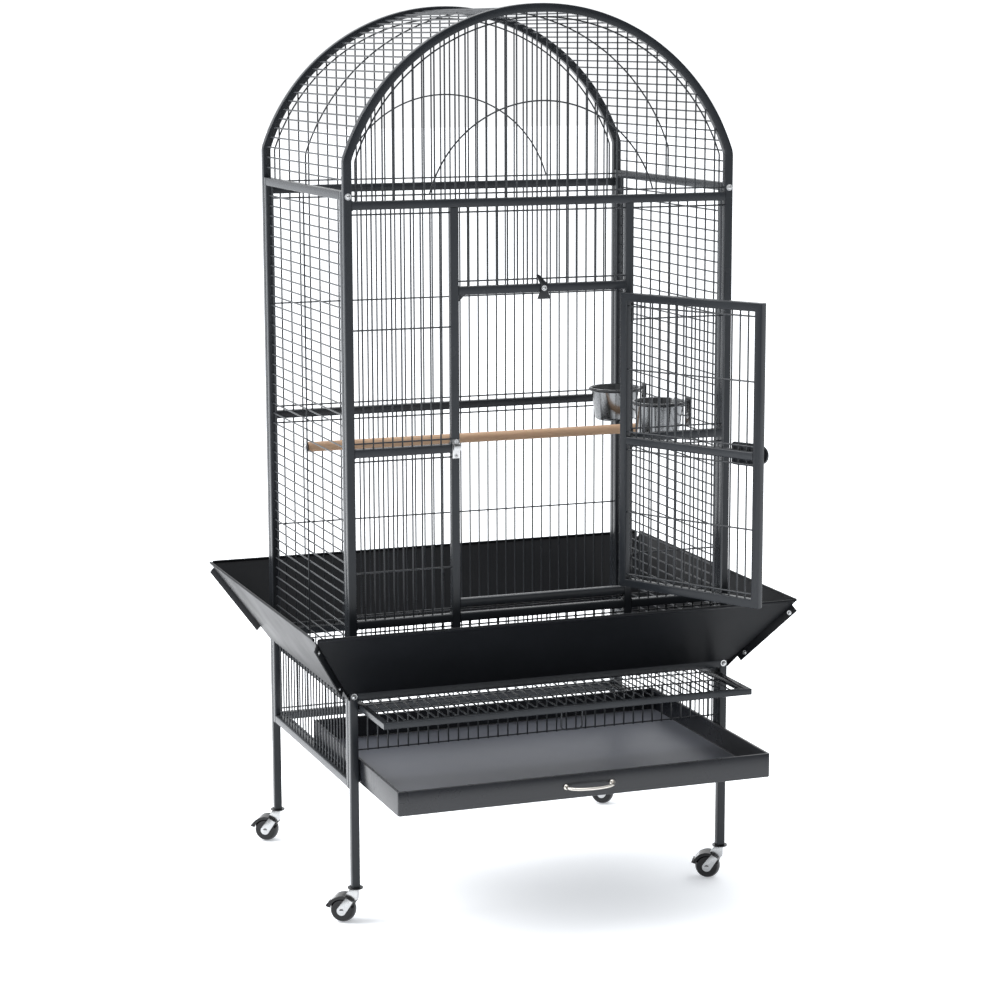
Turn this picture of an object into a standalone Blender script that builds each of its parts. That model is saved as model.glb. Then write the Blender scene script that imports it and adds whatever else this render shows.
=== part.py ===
"""Bird cage with a domed roof on a wheeled stand, in metres, +Z up.

Two bent tube portals, front and rear, carry everything: two side frames bolt between them,
wire panels fill the bays, a sheet skirt flares out below the cage, and a grille and a tray
slide out through the front. The cage stands on four ball casters.
The origin lies on the floor under the middle of the whole outline.
"""

import math

import bmesh
import bpy
from mathutils import Matrix, Vector

# Clearances and stock
GAP = 0.0003            # between pieces that touch or rest on each other
TUBE = 0.0155           # square tube of every frame
WIRE = 0.003            # wire of every panel
WIRE_INSET = 0.009      # from a tube's face to the middle of the cross wire beside it
BAR_PITCH = 0.01975     # middle to middle of the bars in every wide panel
FRONT_PITCH = 0.0186    # and in the narrow front panels

# Cage body
WIDTH = 0.762           # over the posts, left to right
DEPTH = 0.556           # over the frames, front to back
LEG_FOOT_Z = 0.068      # lower end of the legs, where the casters begin
ARCH_OVER = 0.021       # how much more than half the width the arch's radius is
ARCH_RADIUS = WIDTH / 2 + ARCH_OVER  # outer face of the arched tube
ARCH_CENTRE_Z = 1.287
ARCH_BEND = 0.045       # outer radius of the bend between post and arch
ARCH_STEPS = 28
BEND_STEPS = 3
DECOR_RADIUS = 0.2275   # middle of the decorative arc, on the arch's own centre

# Heights of the rails, at their middles
BOTTOM_RAIL_Z = 0.2632
BASE_RAIL_Z = 0.4330
REAR_BASE_RAIL_Z = 0.4385
FLOOR_RAIL_Z = 0.5667
SILL_Z = 0.5936
MID_RAIL_Z = 0.8848
HEADER_Z = 1.1738
TOP_RAIL_Z = 1.3327
SIDE_TOP_Z = 1.3498

# Doorway and door
DOORWAY_WIDTH = 0.329
DOOR_GAP = 0.005        # round three sides of the closed door
DOOR_HINGE_GAP = 0.0025  # beside the hinges
DOOR_OPEN_DEG = 119.0   # how far the door stands open
GUSSET = 0.018          # legs of the gusset that the door closes against
GUSSET_SHEET = 0.003
GUSSET_LAP = 0.011      # how far it laps the backs of the post and the header
DOOR_WIRE_COUNT = 15
LOCK_PLATE = (0.055, 0.042, 0.003)  # width, height, thickness

# Hinges
HINGE_HEIGHT = 0.035
HINGE_LEAF_WIDTH = 0.018
HINGE_LEAF = 0.0015
HINGE_BARREL_RADIUS = 0.0032
HINGE_PIN_RADIUS = 0.0015
HINGE_BORE_RADIUS = 0.0019
HINGE_KNUCKLE_GAP = 0.0004
HINGE_STANDOFF = 0.0038  # from the frame's face out to the pin's axis
HINGE_END_INSET = 0.020  # from the door's top or bottom to the nearest end of a hinge

# Latch, keeper and header catch
LATCH_HUB_RADIUS = 0.008
LATCH_DISC_RADIUS = 0.018
LATCH_KNOB_RADIUS = 0.009
LATCH_LAYERS = (0.003, 0.003, 0.006, 0.010)  # hub, pawl, disc and knob, outward from the door
PAWL_WIDTH = 0.010
KEEPER_PLATE = (0.014, 0.036, 0.0015)
KEEPER_LIP = 0.002
KEEPER_CLEARANCE = 0.0012
CATCH_PLATE = 0.003
CATCH_FOOT_DROP = 0.020
CATCH_FOOT_WIDTH = 0.024
CATCH_NECK_WIDTH = 0.014
CATCH_ARM_RISE = 0.026
CATCH_ARM_WIDTH = 0.006
CATCH_ARM_LEAN = 0.012

# Skirt
SKIRT_FLARE_X = 0.096
SKIRT_FLARE_Y = 0.103
SKIRT_RIM_Z = 0.5705
SKIRT_FRONT_Z = 0.441   # lower edge of the front and rear panels
SKIRT_SIDE_Z = 0.427    # lower edge of the side panels
SKIRT_SHEET = 0.0012
SKIRT_RIM_RADIUS = 0.0026
SKIRT_STRIP = (0.016, 0.003)  # width and thickness of the seam strip at each corner
SKIRT_STRIP_SHORT = 0.014     # how far the strip stops short of either end of the corner
SKIRT_SIDE_TRIM = 0.0045      # side panels stop short of the seam strip

# Grille and tray, and how far each stands pulled out of the base
SLIDE_REACH = 0.538     # front to back of both
SLIDE_PROUD = 0.005     # how far a closed front stands out of the frame's face
GRILLE_PULLED = 0.142
GRILLE_HEIGHT = 0.012
GRILLE_TOP_Z = 0.4185
GRILLE_SIDE_CLEARANCE = 0.002
GRILLE_PULL = (0.044, 0.033)  # width and drop of the wire pull under the front rail
TRAY_PULLED = 0.224
TRAY_RIM_Z = 0.3136
TRAY_HEIGHT = 0.045
TRAY_SHEET = 0.0012
TRAY_HEM = 0.006
TRAY_SIDE_CLEARANCE = 0.0015
RUNNER_WIDTH = 0.012
RUNNER_SHEET = 0.002
CURTAIN_Z = (0.3285, 0.4005)  # lower and upper edge of the wires between grille and tray
HANDLE_WIDTH = 0.090
HANDLE_RISE = 0.024
HANDLE_RADIUS = 0.0028
HANDLE_FOOT_RADIUS = 0.006

# Casters
BALL_RADIUS = 0.0245
BALL_HALF_WIDTH = 0.0145
BALL_CLEARANCE = 0.002
CASTER_TRAIL = 0.0233
CASTER_TURN_DEG = 149.0
CASTER_COLLAR = (0.0145, 0.003)  # radius and thickness
CASTER_NECK_RADIUS = 0.007
CASTER_HOOD = 0.002
CASTER_CHEEK = 0.002
CASTER_CHEEK_GAP = 0.0006
AXLE_RADIUS = 0.003
AXLE_CLEARANCE = 0.0005
HOOD_SPAN_DEG = (-15.0, 145.0)  # from the far side of the ball, up and over towards the stem
HOOD_STEPS = 8
BALL_STEPS = 4

# Perch and cups
PERCH_RADIUS = 0.0095
PERCH_Y = 0.011
PERCH_Z = 0.857
CUP_RADIUS = 0.0485
CUP_FOOT_RADIUS = 0.041
CUP_HEIGHT = 0.066
CUP_SHEET = 0.0012
CUP_RIM = 0.004         # how far the rim stands out
CUP_RIM_Z = 0.928
CUP_Y = 0.110
HOLDER_RING_RADIUS = 0.0025
HOLDER_CLEARANCE = 0.0008
HOLDER_PLATE = (0.003, 0.020, 0.055)
HOLDER_ARM = (0.0105, 0.012)  # reach from the ring to the plate, and width

# Round pieces
ROUND_STEPS = 16

# Sizes that follow
HALF_WIDTH = WIDTH / 2
HALF_DEPTH = DEPTH / 2
INNER_X = HALF_WIDTH - TUBE
SIDE_REACH = HALF_DEPTH - TUBE - GAP      # the side frames fit between the portals
HALF_DOORWAY = DOORWAY_WIDTH / 2
DOOR_POST_X = HALF_DOORWAY + TUBE         # outer face of the door posts
WIRE_HALF = WIRE / 2
HINGE_X = HALF_DOORWAY - DOOR_HINGE_GAP
HINGE_Y = -HALF_DEPTH - HINGE_STANDOFF
DOOR_WIDTH = HALF_DOORWAY + HINGE_X - DOOR_GAP - DOOR_HINGE_GAP
DOOR_BOTTOM_Z = SILL_Z + TUBE / 2 + DOOR_GAP
DOOR_TOP_Z = HEADER_Z - TUBE / 2 - DOOR_GAP
WHEEL_MIDDLES = [(x, y) for y in (-1, 1) for x in (-1, 1)]

STEEL = ("dark_coated_steel", (0.052, 0.057, 0.062), 0.42, 0.35)
WIRES = ("coated_wire", (0.060, 0.066, 0.071), 0.45, 0.35)
SHEET = ("coated_sheet", (0.030, 0.034, 0.038), 0.33, 0.30)
ZINC = ("zinc_plate", (0.55, 0.55, 0.54), 0.30, 0.95)
STAINLESS = ("stainless_steel", (0.42, 0.42, 0.42), 0.22, 1.0)
NICKEL = ("satin_nickel", (0.50, 0.49, 0.46), 0.28, 1.0)
PLASTIC = ("black_plastic", (0.012, 0.012, 0.013), 0.35, 0.0)
WOOD = ("perch_wood", (0.60, 0.42, 0.27), 0.60, 0.0)

FACING_FRONT = Matrix.Rotation(math.pi / 2, 4, "X")
FACING_SIDE = Matrix.Rotation(math.pi / 2, 4, "Z") @ FACING_FRONT
FACING_SIDE_LEVEL = Matrix.Rotation(-math.pi / 2, 4, "Y")  # the plate's own X runs up
LYING_FLAT = Matrix.Identity(4)


def clear_scene():
    """Start from an empty scene."""
    for obj in list(bpy.data.objects):
        bpy.data.objects.remove(obj, do_unlink=True)


def new_collection(name):
    """A collection under the scene."""
    collection = bpy.data.collections.new(name)
    bpy.context.scene.collection.children.link(collection)
    return collection


def finish_of(kind):
    """The Principled material of a finish, made the first time it is asked for."""
    name, colour, roughness, metallic = kind
    material = bpy.data.materials.get(name)
    if material is None:
        material = bpy.data.materials.new(name)
        material.use_nodes = True
        shader = material.node_tree.nodes["Principled BSDF"]
        shader.inputs["Base Color"].default_value = (*colour, 1)
        shader.inputs["Roughness"].default_value = roughness
        shader.inputs["Metallic"].default_value = metallic
    return material


def add_empty(name, location, turn_deg=0.0, parent=None):
    """An axis that pieces hang on."""
    empty = bpy.data.objects.new(name, None)
    empty.empty_display_size = 0.05
    CAGE.objects.link(empty)
    empty.parent = parent
    empty.location = location
    empty.rotation_euler = (0, 0, math.radians(turn_deg))
    return empty


def evaluated_mesh(obj, name):
    """The object's mesh with its modifiers, in its parent's frame, with loose caps welded."""
    bpy.context.view_layer.update()
    graph = bpy.context.evaluated_depsgraph_get()
    mesh = bpy.data.meshes.new_from_object(obj.evaluated_get(graph))
    mesh.name = name
    mesh.transform(obj.matrix_world)
    made = bmesh.new()
    made.from_mesh(mesh)
    bmesh.ops.remove_doubles(made, verts=made.verts, dist=1e-6)
    made.to_mesh(mesh)
    made.free()
    return mesh


def baked(obj):
    """Swap a working object for a plain mesh object, so that it can be joined or cut."""
    mesh = evaluated_mesh(obj, obj.name)
    name = obj.name
    bpy.data.objects.remove(obj, do_unlink=True)
    plain = bpy.data.objects.new(name, mesh)
    WORKSHOP.objects.link(plain)
    return plain


def combined(first, others, operation="UNION"):
    """One mesh object from several, by Boolean; the others are used up."""
    for other in others:
        other.display_type = "WIRE"
        other.hide_render = True
        modifier = first.modifiers.new(operation.title(), "BOOLEAN")
        modifier.operation = operation
        modifier.solver = "EXACT"
        modifier.object = other
    result = baked(first)
    for other in others:
        bpy.data.objects.remove(other, do_unlink=True)
    return result


def place(obj, name, finish, parent, smooth_deg=None):
    """Name a finished piece, give it its finish and hang it on its parent."""
    obj.name = name
    obj.data.name = name
    obj.data.materials.clear()
    obj.data.materials.append(finish_of(finish))
    for collection in list(obj.users_collection):
        collection.objects.unlink(obj)
    CAGE.objects.link(obj)
    obj.parent = parent
    if smooth_deg is not None:
        obj.data.shade_smooth()
        obj.data.set_sharp_from_angle(angle=math.radians(smooth_deg))
    return obj


def plate(outline, holes, thickness, middle, facing=FACING_FRONT):
    """A flat piece of even thickness: an outline with holes, its mid-plane through middle."""
    curve = bpy.data.curves.new("outline", "CURVE")
    curve.dimensions = "2D"
    curve.fill_mode = "BOTH"
    curve.extrude = thickness / 2
    for loop in [outline, *holes]:
        spline = curve.splines.new("POLY")
        spline.points.add(len(loop) - 1)
        for point, (across, up) in zip(spline.points, loop):
            point.co = (across, up, 0, 1)
        spline.use_cyclic_u = True
    obj = bpy.data.objects.new("plate", curve)
    WORKSHOP.objects.link(obj)
    obj.matrix_world = Matrix.Translation(middle) @ facing
    return baked(obj)


def box(low, high):
    """A box from its lowest to its highest corner."""
    made = bmesh.new()
    bmesh.ops.create_cube(made, size=1)
    size = Vector(high) - Vector(low)
    middle = (Vector(high) + Vector(low)) / 2
    bmesh.ops.scale(made, vec=size, verts=made.verts)
    bmesh.ops.translate(made, vec=middle, verts=made.verts)
    return from_bmesh(made)


def rod(start, end, radius, steps=ROUND_STEPS):
    """A round bar between two points."""
    start, end = Vector(start), Vector(end)
    along = end - start
    made = bmesh.new()
    bmesh.ops.create_cone(
        made, cap_ends=True, segments=steps, radius1=radius, radius2=radius, depth=along.length
    )
    turn = along.to_track_quat("Z", "Y").to_matrix().to_4x4()
    bmesh.ops.transform(made, matrix=Matrix.Translation((start + end) / 2) @ turn, verts=made.verts)
    return from_bmesh(made)


def from_bmesh(made):
    """A working object from a bmesh."""
    mesh = bpy.data.meshes.new("working")
    made.to_mesh(mesh)
    made.free()
    obj = bpy.data.objects.new("working", mesh)
    WORKSHOP.objects.link(obj)
    return obj


def turned(profile, middle, closed, steps=ROUND_STEPS, tilt=None):
    """A profile of (radius, height) points turned about its axis."""
    made = bmesh.new()
    points = [made.verts.new((radius, 0, height)) for radius, height in profile]
    for first, second in zip(points, points[1:]):
        made.edges.new((first, second))
    if closed:
        made.edges.new((points[-1], points[0]))
    obj = from_bmesh(made)
    screw = obj.modifiers.new("Turn", "SCREW")
    screw.steps = steps
    screw.render_steps = steps
    screw.use_merge_vertices = True
    screw.merge_threshold = 1e-5
    obj.matrix_world = Matrix.Translation(middle) @ (tilt or Matrix.Identity(4))
    return baked(obj)


def bent_wire(points, radius):
    """A wire of round section through the points."""
    curve = bpy.data.curves.new("wire", "CURVE")
    curve.dimensions = "3D"
    curve.bevel_depth = radius
    curve.bevel_resolution = 1
    curve.use_fill_caps = True
    spline = curve.splines.new("POLY")
    spline.points.add(len(points) - 1)
    for point, at in zip(spline.points, points):
        point.co = (*at, 1)
    obj = bpy.data.objects.new("wire", curve)
    WORKSHOP.objects.link(obj)
    return baked(obj)


def rectangle(across, up):
    """A rectangle's corners from its two ranges."""
    return [(across[0], up[0]), (across[1], up[0]), (across[1], up[1]), (across[0], up[1])]


def under(rail_z):
    """Height of a rail's lower face."""
    return rail_z - TUBE / 2


def over(rail_z):
    """Height of a rail's upper face."""
    return rail_z + TUBE / 2


def arc(centre, radius, start, end, steps):
    """Points along an arc, angles in radians from +X."""
    turn = (end - start) / steps
    return [
        (centre[0] + radius * math.cos(start + turn * i), centre[1] + radius * math.sin(start + turn * i))
        for i in range(steps + 1)
    ]


def bend_centre():
    """Centre of the right-hand bend between post and arch, the same for every parallel line."""
    across = HALF_WIDTH - ARCH_BEND
    rise = math.sqrt((ARCH_RADIUS - ARCH_BEND) ** 2 - across**2)
    return across, ARCH_CENTRE_Z + rise


def portal_line(inset):
    """Left to right over the arch, along a line set in from the portal's outer face."""
    across, height = bend_centre()
    lift = math.atan2(height - ARCH_CENTRE_Z, across)
    bend = ARCH_BEND - inset
    left = arc((-across, height), bend, math.pi, math.pi - lift, BEND_STEPS)
    dome = arc((0, ARCH_CENTRE_Z), ARCH_RADIUS - inset, math.pi - lift, lift, ARCH_STEPS)
    right = arc((across, height), bend, lift, 0, BEND_STEPS)
    return left + dome[1:-1] + right


def portal_height(x, inset):
    """Height of that line over a point across the cage."""
    line = portal_line(inset)
    for (x0, z0), (x1, z1) in zip(line, line[1:]):
        if x0 <= x <= x1 and x1 > x0:
            return z0 + (z1 - z0) * (x - x0) / (x1 - x0)
    return line[0][1]


def portal_outline(lowest_rail_z):
    """The portal's own outline: two legs, the arch and the underside of its lowest rail."""
    foot = LEG_FOOT_Z
    inside = [(INNER_X, foot), (INNER_X, under(lowest_rail_z))]
    inside += [(-INNER_X, under(lowest_rail_z)), (-INNER_X, foot)]
    return [(-HALF_WIDTH, foot), *portal_line(0), (HALF_WIDTH, foot), *inside]


def arch_bay():
    """The opening above the top rail."""
    low = over(TOP_RAIL_Z)
    return [(-INNER_X, low), *portal_line(TUBE), (INNER_X, low)]


def gusset():
    """The gusset behind the doorway's upper left corner, and the pad that holds it just off the post."""
    x, z, y = -HALF_DOORWAY, under(HEADER_Z), -HALF_DEPTH + TUBE
    outline = [
        (x - GUSSET_LAP, z - GUSSET),
        (x, z - GUSSET),
        (x + GUSSET, z),
        (x + GUSSET, z + GUSSET_LAP),
        (x - GUSSET_LAP, z + GUSSET_LAP),
    ]
    sheet = plate(outline, [], GUSSET_SHEET - GAP, (0, y + (GUSSET_SHEET + GAP) / 2, 0))
    bite = GUSSET_SHEET / 2
    inset = GUSSET_LAP / 4
    pad = box((x - GUSSET_LAP + inset, y - bite, z - GUSSET + inset), (x - inset, y + bite, z - inset))
    return combined(sheet, [pad])


def front_frame(parent):
    """The front portal with its rails, the two door posts and the doorway's gusset."""
    sides = ((-INNER_X, -DOOR_POST_X), (DOOR_POST_X, INNER_X))
    doorway = (-HALF_DOORWAY, HALF_DOORWAY)
    low, high = over(SILL_Z), under(HEADER_Z)
    holes = [rectangle(doorway, (low, high)), arch_bay()]
    for side in sides:
        holes.append(rectangle(side, (over(BASE_RAIL_Z), under(FLOOR_RAIL_Z))))
        holes.append(rectangle(side, (over(FLOOR_RAIL_Z), under(MID_RAIL_Z))))
        holes.append(rectangle(side, (over(MID_RAIL_Z), under(TOP_RAIL_Z))))
    holes.append(rectangle(doorway, (over(BASE_RAIL_Z), under(FLOOR_RAIL_Z))))
    holes.append(rectangle(doorway, (over(FLOOR_RAIL_Z), under(SILL_Z))))
    holes.append(rectangle(doorway, (over(HEADER_Z), under(TOP_RAIL_Z))))
    frame = plate(portal_outline(BASE_RAIL_Z), holes, TUBE, (0, -HALF_DEPTH + TUBE / 2, 0))
    place(combined(frame, [gusset()]), "front_frame", STEEL, parent)


def rear_frame(parent):
    """The rear portal with its four rails."""
    inner = (-INNER_X, INNER_X)
    holes = [
        arch_bay(),
        rectangle(inner, (over(BOTTOM_RAIL_Z), under(REAR_BASE_RAIL_Z))),
        rectangle(inner, (over(REAR_BASE_RAIL_Z), under(MID_RAIL_Z))),
        rectangle(inner, (over(MID_RAIL_Z), under(TOP_RAIL_Z))),
    ]
    frame = plate(portal_outline(BOTTOM_RAIL_Z), holes, TUBE, (0, HALF_DEPTH - TUBE / 2, 0))
    place(frame, "rear_frame", STEEL, parent)


def side_frame(name, side, parent):
    """A tube rectangle between the portals, with the runners of the tray and the grille."""
    reach = (-SIDE_REACH, SIDE_REACH)
    clear = (-SIDE_REACH + TUBE, SIDE_REACH - TUBE)
    outline = rectangle(reach, (under(BOTTOM_RAIL_Z), over(SIDE_TOP_Z)))
    holes = [
        rectangle(clear, (over(BOTTOM_RAIL_Z), under(BASE_RAIL_Z))),
        rectangle(clear, (over(BASE_RAIL_Z), under(SIDE_TOP_Z))),
    ]
    frame = plate(outline, holes, TUBE, (side * (HALF_WIDTH - TUBE / 2), 0, 0), FACING_SIDE)
    tray_top = TRAY_RIM_Z - TRAY_HEIGHT - GAP
    grille_top = GRILLE_TOP_Z - GRILLE_HEIGHT - GAP
    web = INNER_X + RUNNER_SHEET
    bite = RUNNER_SHEET / 2
    lip = INNER_X - RUNNER_WIDTH
    tray_runner = box_between(side, (lip, INNER_X + bite), reach, (tray_top - RUNNER_SHEET, tray_top))
    ledge = box_between(side, (lip, web), reach, (grille_top - RUNNER_SHEET, grille_top))
    hanger = box_between(side, (INNER_X + GAP, web), clear, (grille_top - bite, under(BASE_RAIL_Z) + bite))
    frame = combined(frame, [tray_runner, ledge, hanger])
    place(frame, name, STEEL, parent)


def box_between(side, across, along, up):
    """A box given by how far out it lies on one side of the cage."""
    xs = sorted((side * across[0], side * across[1]))
    return box((xs[0], along[0], up[0]), (xs[1], along[1], up[1]))


def bars_across(span, pitch):
    """Middles of the bars that fill a bay at about this pitch, evenly spread."""
    count = round((span[1] - span[0]) / pitch) - 1
    step = (span[1] - span[0]) / (count + 1)
    return [span[0] + step * (i + 1) for i in range(count)]


def bar_panel(bars, span, run, middle, facing, inset=WIRE_INSET):
    """Parallel bars across a span, on two cross wires that reach the tubes."""
    low, high = run[0] + inset, run[1] - inset
    first, last = bars[0], bars[-1]
    start, end = span[0] + GAP, span[1] - GAP
    h = WIRE_HALF
    outline = [(start, low - h), (end, low - h), (end, low + h), (last + h, low + h)]
    outline += [(last + h, high - h), (end, high - h), (end, high + h), (start, high + h)]
    outline += [(start, high - h), (first - h, high - h), (first - h, low + h), (start, low + h)]
    holes = [rectangle((a + h, b - h), (low + h, high - h)) for a, b in zip(bars, bars[1:])]
    return plate(outline, holes, WIRE, middle, facing)


def front_panels(parent):
    """Wire panels of the front portal below its top rail."""
    middle = (0, -HALF_DEPTH + TUBE / 2, 0)
    left, right = (-INNER_X, -DOOR_POST_X), (DOOR_POST_X, INNER_X)
    doorway = (-HALF_DOORWAY, HALF_DOORWAY)
    lower = (over(FLOOR_RAIL_Z), under(MID_RAIL_Z))
    upper = (over(MID_RAIL_Z), under(TOP_RAIL_Z))
    base = (over(BASE_RAIL_Z), under(FLOOR_RAIL_Z))
    header = (over(HEADER_Z), under(TOP_RAIL_Z))
    panels = {
        "front_left_lower_wires": (left, lower, FRONT_PITCH),
        "front_left_upper_wires": (left, upper, FRONT_PITCH),
        "front_left_base_wires": (left, base, FRONT_PITCH),
        "front_right_lower_wires": (right, lower, FRONT_PITCH),
        "front_right_upper_wires": (right, upper, FRONT_PITCH),
        "front_right_base_wires": (right, base, FRONT_PITCH),
        "front_middle_base_wires": (doorway, base, BAR_PITCH),
        "header_wires": (doorway, header, BAR_PITCH),
    }
    for name, (span, run, pitch) in panels.items():
        panel = bar_panel(bars_across(span, pitch), span, run, middle, FACING_FRONT)
        place(panel, name, WIRES, parent)
    span = (-INNER_X, INNER_X)
    curtain = bar_panel(bars_across(span, BAR_PITCH), span, CURTAIN_Z, middle, FACING_FRONT, inset=WIRE_HALF)
    place(curtain, "curtain_wires", WIRES, parent)


def rear_panels(parent):
    """Wire panels of the rear portal below its top rail."""
    middle = (0, HALF_DEPTH - TUBE / 2, 0)
    span = (-INNER_X, INNER_X)
    runs = {
        "rear_base_wires": (over(BOTTOM_RAIL_Z), under(REAR_BASE_RAIL_Z)),
        "rear_lower_wires": (over(REAR_BASE_RAIL_Z), under(MID_RAIL_Z)),
        "rear_upper_wires": (over(MID_RAIL_Z), under(TOP_RAIL_Z)),
    }
    for name, run in runs.items():
        panel = bar_panel(bars_across(span, BAR_PITCH), span, run, middle, FACING_FRONT)
        place(panel, name, WIRES, parent)


def side_panels(label, side, parent):
    """Level bars beside the cage, upright bars beside the base, and the centre wire."""
    reach = SIDE_REACH - TUBE
    middle_x = side * (HALF_WIDTH - TUBE / 2)
    cage_up = (over(BASE_RAIL_Z), under(SIDE_TOP_Z))
    level_bars = bars_across(cage_up, BAR_PITCH)
    cage = bar_panel(level_bars, cage_up, (-reach, reach), (middle_x, 0, 0), FACING_SIDE_LEVEL)
    place(cage, f"{label}_cage_wires", WIRES, parent)
    base_up = (over(BOTTOM_RAIL_Z), under(BASE_RAIL_Z))
    span = (-reach, reach)
    base = bar_panel(bars_across(span, BAR_PITCH), span, base_up, (middle_x, 0, 0), FACING_SIDE)
    place(base, f"{label}_base_wires", WIRES, parent)
    outside = middle_x + side * (WIRE + GAP)
    centre = rod((outside, 0, cage_up[0] + GAP), (outside, 0, cage_up[1] - GAP), WIRE_HALF, steps=8)
    place(centre, f"{label}_centre_wire", WIRES, parent, smooth_deg=40)


def arch_panel(label, side, parent):
    """Upright bars under the arch inside a perimeter wire, and the decorative arc on their outer side."""
    middle_y = side * (HALF_DEPTH - TUBE / 2)
    h = WIRE_HALF
    low = over(TOP_RAIL_Z) + WIRE_INSET
    edge = TUBE + WIRE_INSET
    border = portal_line(edge - h)
    tab = INNER_X - GAP
    outline = [(-tab, low - h), (tab, low - h), (tab, low + h), (border[-1][0], low + h)]
    outline += [*reversed(border), (border[0][0], low + h), (-tab, low + h)]
    bars = bars_across((-INNER_X, INNER_X), BAR_PITCH)
    inner = portal_line(edge + h)
    stops = [inner[0][0] - h, *bars, inner[-1][0] + h]
    holes = []
    for a, b in zip(stops, stops[1:]):
        x0, x1 = a + h, b - h
        corners = [point for point in inner if x0 < point[0] < x1 and abs(point[0]) > bars[-2]]
        top = [(x0, portal_height(x0, edge + h)), *corners, (x1, portal_height(x1, edge + h))]
        holes.append([(x1, low + h), (x0, low + h), *top])
    place(plate(outline, holes, WIRE, (0, middle_y, 0)), f"{label}_arch_wires", WIRES, parent)
    foot = math.asin((low - ARCH_CENTRE_Z) / DECOR_RADIUS)
    centre = (0, ARCH_CENTRE_Z)
    ring = arc(centre, DECOR_RADIUS + h, foot, math.pi - foot, ARCH_STEPS)
    ring += arc(centre, DECOR_RADIUS - h, math.pi - foot, foot, ARCH_STEPS)
    decor = plate(ring, [], WIRE, (0, middle_y + side * (WIRE + GAP), 0))
    place(decor, f"{label}_decor_arc", WIRES, parent)


def roof_point(distance):
    """Where the roof's mid-line is, this far along it from its left foot."""
    across, height = bend_centre()
    inset = TUBE / 2
    lift = math.atan2(height - ARCH_CENTRE_Z, across)
    foot = over(SIDE_TOP_Z) + GAP
    straight = height - foot
    bend = (ARCH_BEND - inset) * lift
    dome = (ARCH_RADIUS - inset) * (math.pi - 2 * lift)
    total = 2 * (straight + bend) + dome
    mirrored = distance > total / 2
    s = total - distance if mirrored else distance
    if s <= straight:
        x, z = -(HALF_WIDTH - inset), foot + s
    elif s <= straight + bend:
        angle = math.pi - (s - straight) / (ARCH_BEND - inset)
        x = -across + (ARCH_BEND - inset) * math.cos(angle)
        z = height + (ARCH_BEND - inset) * math.sin(angle)
    else:
        angle = math.pi - lift - (s - straight - bend) / (ARCH_RADIUS - inset)
        x = (ARCH_RADIUS - inset) * math.cos(angle)
        z = ARCH_CENTRE_Z + (ARCH_RADIUS - inset) * math.sin(angle)
    return (-x if mirrored else x), z, total


def roof(parent):
    """Bars from portal to portal over the arch, all on one hoop wire at mid depth."""
    total = roof_point(0)[2]
    bars = bars_across((0, total), BAR_PITCH)
    made = bmesh.new()

    def row(distance, reaches):
        x, z, _ = roof_point(distance)
        return [made.verts.new((x, y, z)) for y in reaches]

    end = SIDE_REACH
    hoop = row(0, (-WIRE_HALF, WIRE_HALF))
    for bar in bars:
        near = row(bar - WIRE_HALF, (-end, -WIRE_HALF, WIRE_HALF, end))
        far = row(bar + WIRE_HALF, (-end, -WIRE_HALF, WIRE_HALF, end))
        made.faces.new((hoop[0], hoop[1], near[2], near[1]))
        for i in range(3):
            made.faces.new((near[i], near[i + 1], far[i + 1], far[i]))
        hoop = [far[1], far[2]]
    last = row(total, (-WIRE_HALF, WIRE_HALF))
    made.faces.new((hoop[0], hoop[1], last[1], last[0]))
    bmesh.ops.recalc_face_normals(made, faces=made.faces)
    obj = from_bmesh(made)
    solidify = obj.modifiers.new("Wire", "SOLIDIFY")
    solidify.thickness = WIRE
    solidify.offset = 0
    place(baked(obj), "roof_wires", WIRES, parent)


def door(parent):
    """The door's frame, its two wire panels and its latch, all turning on the hinge axis."""
    near, far = -DOOR_HINGE_GAP, -DOOR_HINGE_GAP - DOOR_WIDTH
    span = (far + TUBE, near - TUBE)
    lower = (DOOR_BOTTOM_Z + TUBE, under(MID_RAIL_Z))
    upper = (over(MID_RAIL_Z), DOOR_TOP_Z - TUBE)
    middle_y = HINGE_STANDOFF + TUBE / 2
    outline = rectangle((far, near), (DOOR_BOTTOM_Z, DOOR_TOP_Z))
    frame = plate(outline, [rectangle(span, lower), rectangle(span, upper)], TUBE, (0, middle_y, 0))
    plate_width, plate_height, plate_sheet = LOCK_PLATE
    lock = box(
        (far + TUBE / 2, HINGE_STANDOFF + GAP, MID_RAIL_Z - plate_height / 2),
        (far + TUBE + plate_width, HINGE_STANDOFF + GAP + plate_sheet, MID_RAIL_Z + plate_height / 2),
    )
    place(combined(frame, [lock]), "door_frame", STEEL, parent)
    step = (span[1] - span[0]) / (DOOR_WIRE_COUNT + 1)
    for name, run in (("door_lower_wires", lower), ("door_upper_wires", upper)):
        panel = bar_panel(bars_across(span, step), span, run, (0, middle_y, 0), FACING_FRONT)
        place(panel, name, WIRES, parent)
    latch_pivot = add_empty("latch_axis", (far + TUBE, HINGE_STANDOFF, MID_RAIL_Z), parent=parent)
    door_latch(latch_pivot)


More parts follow.
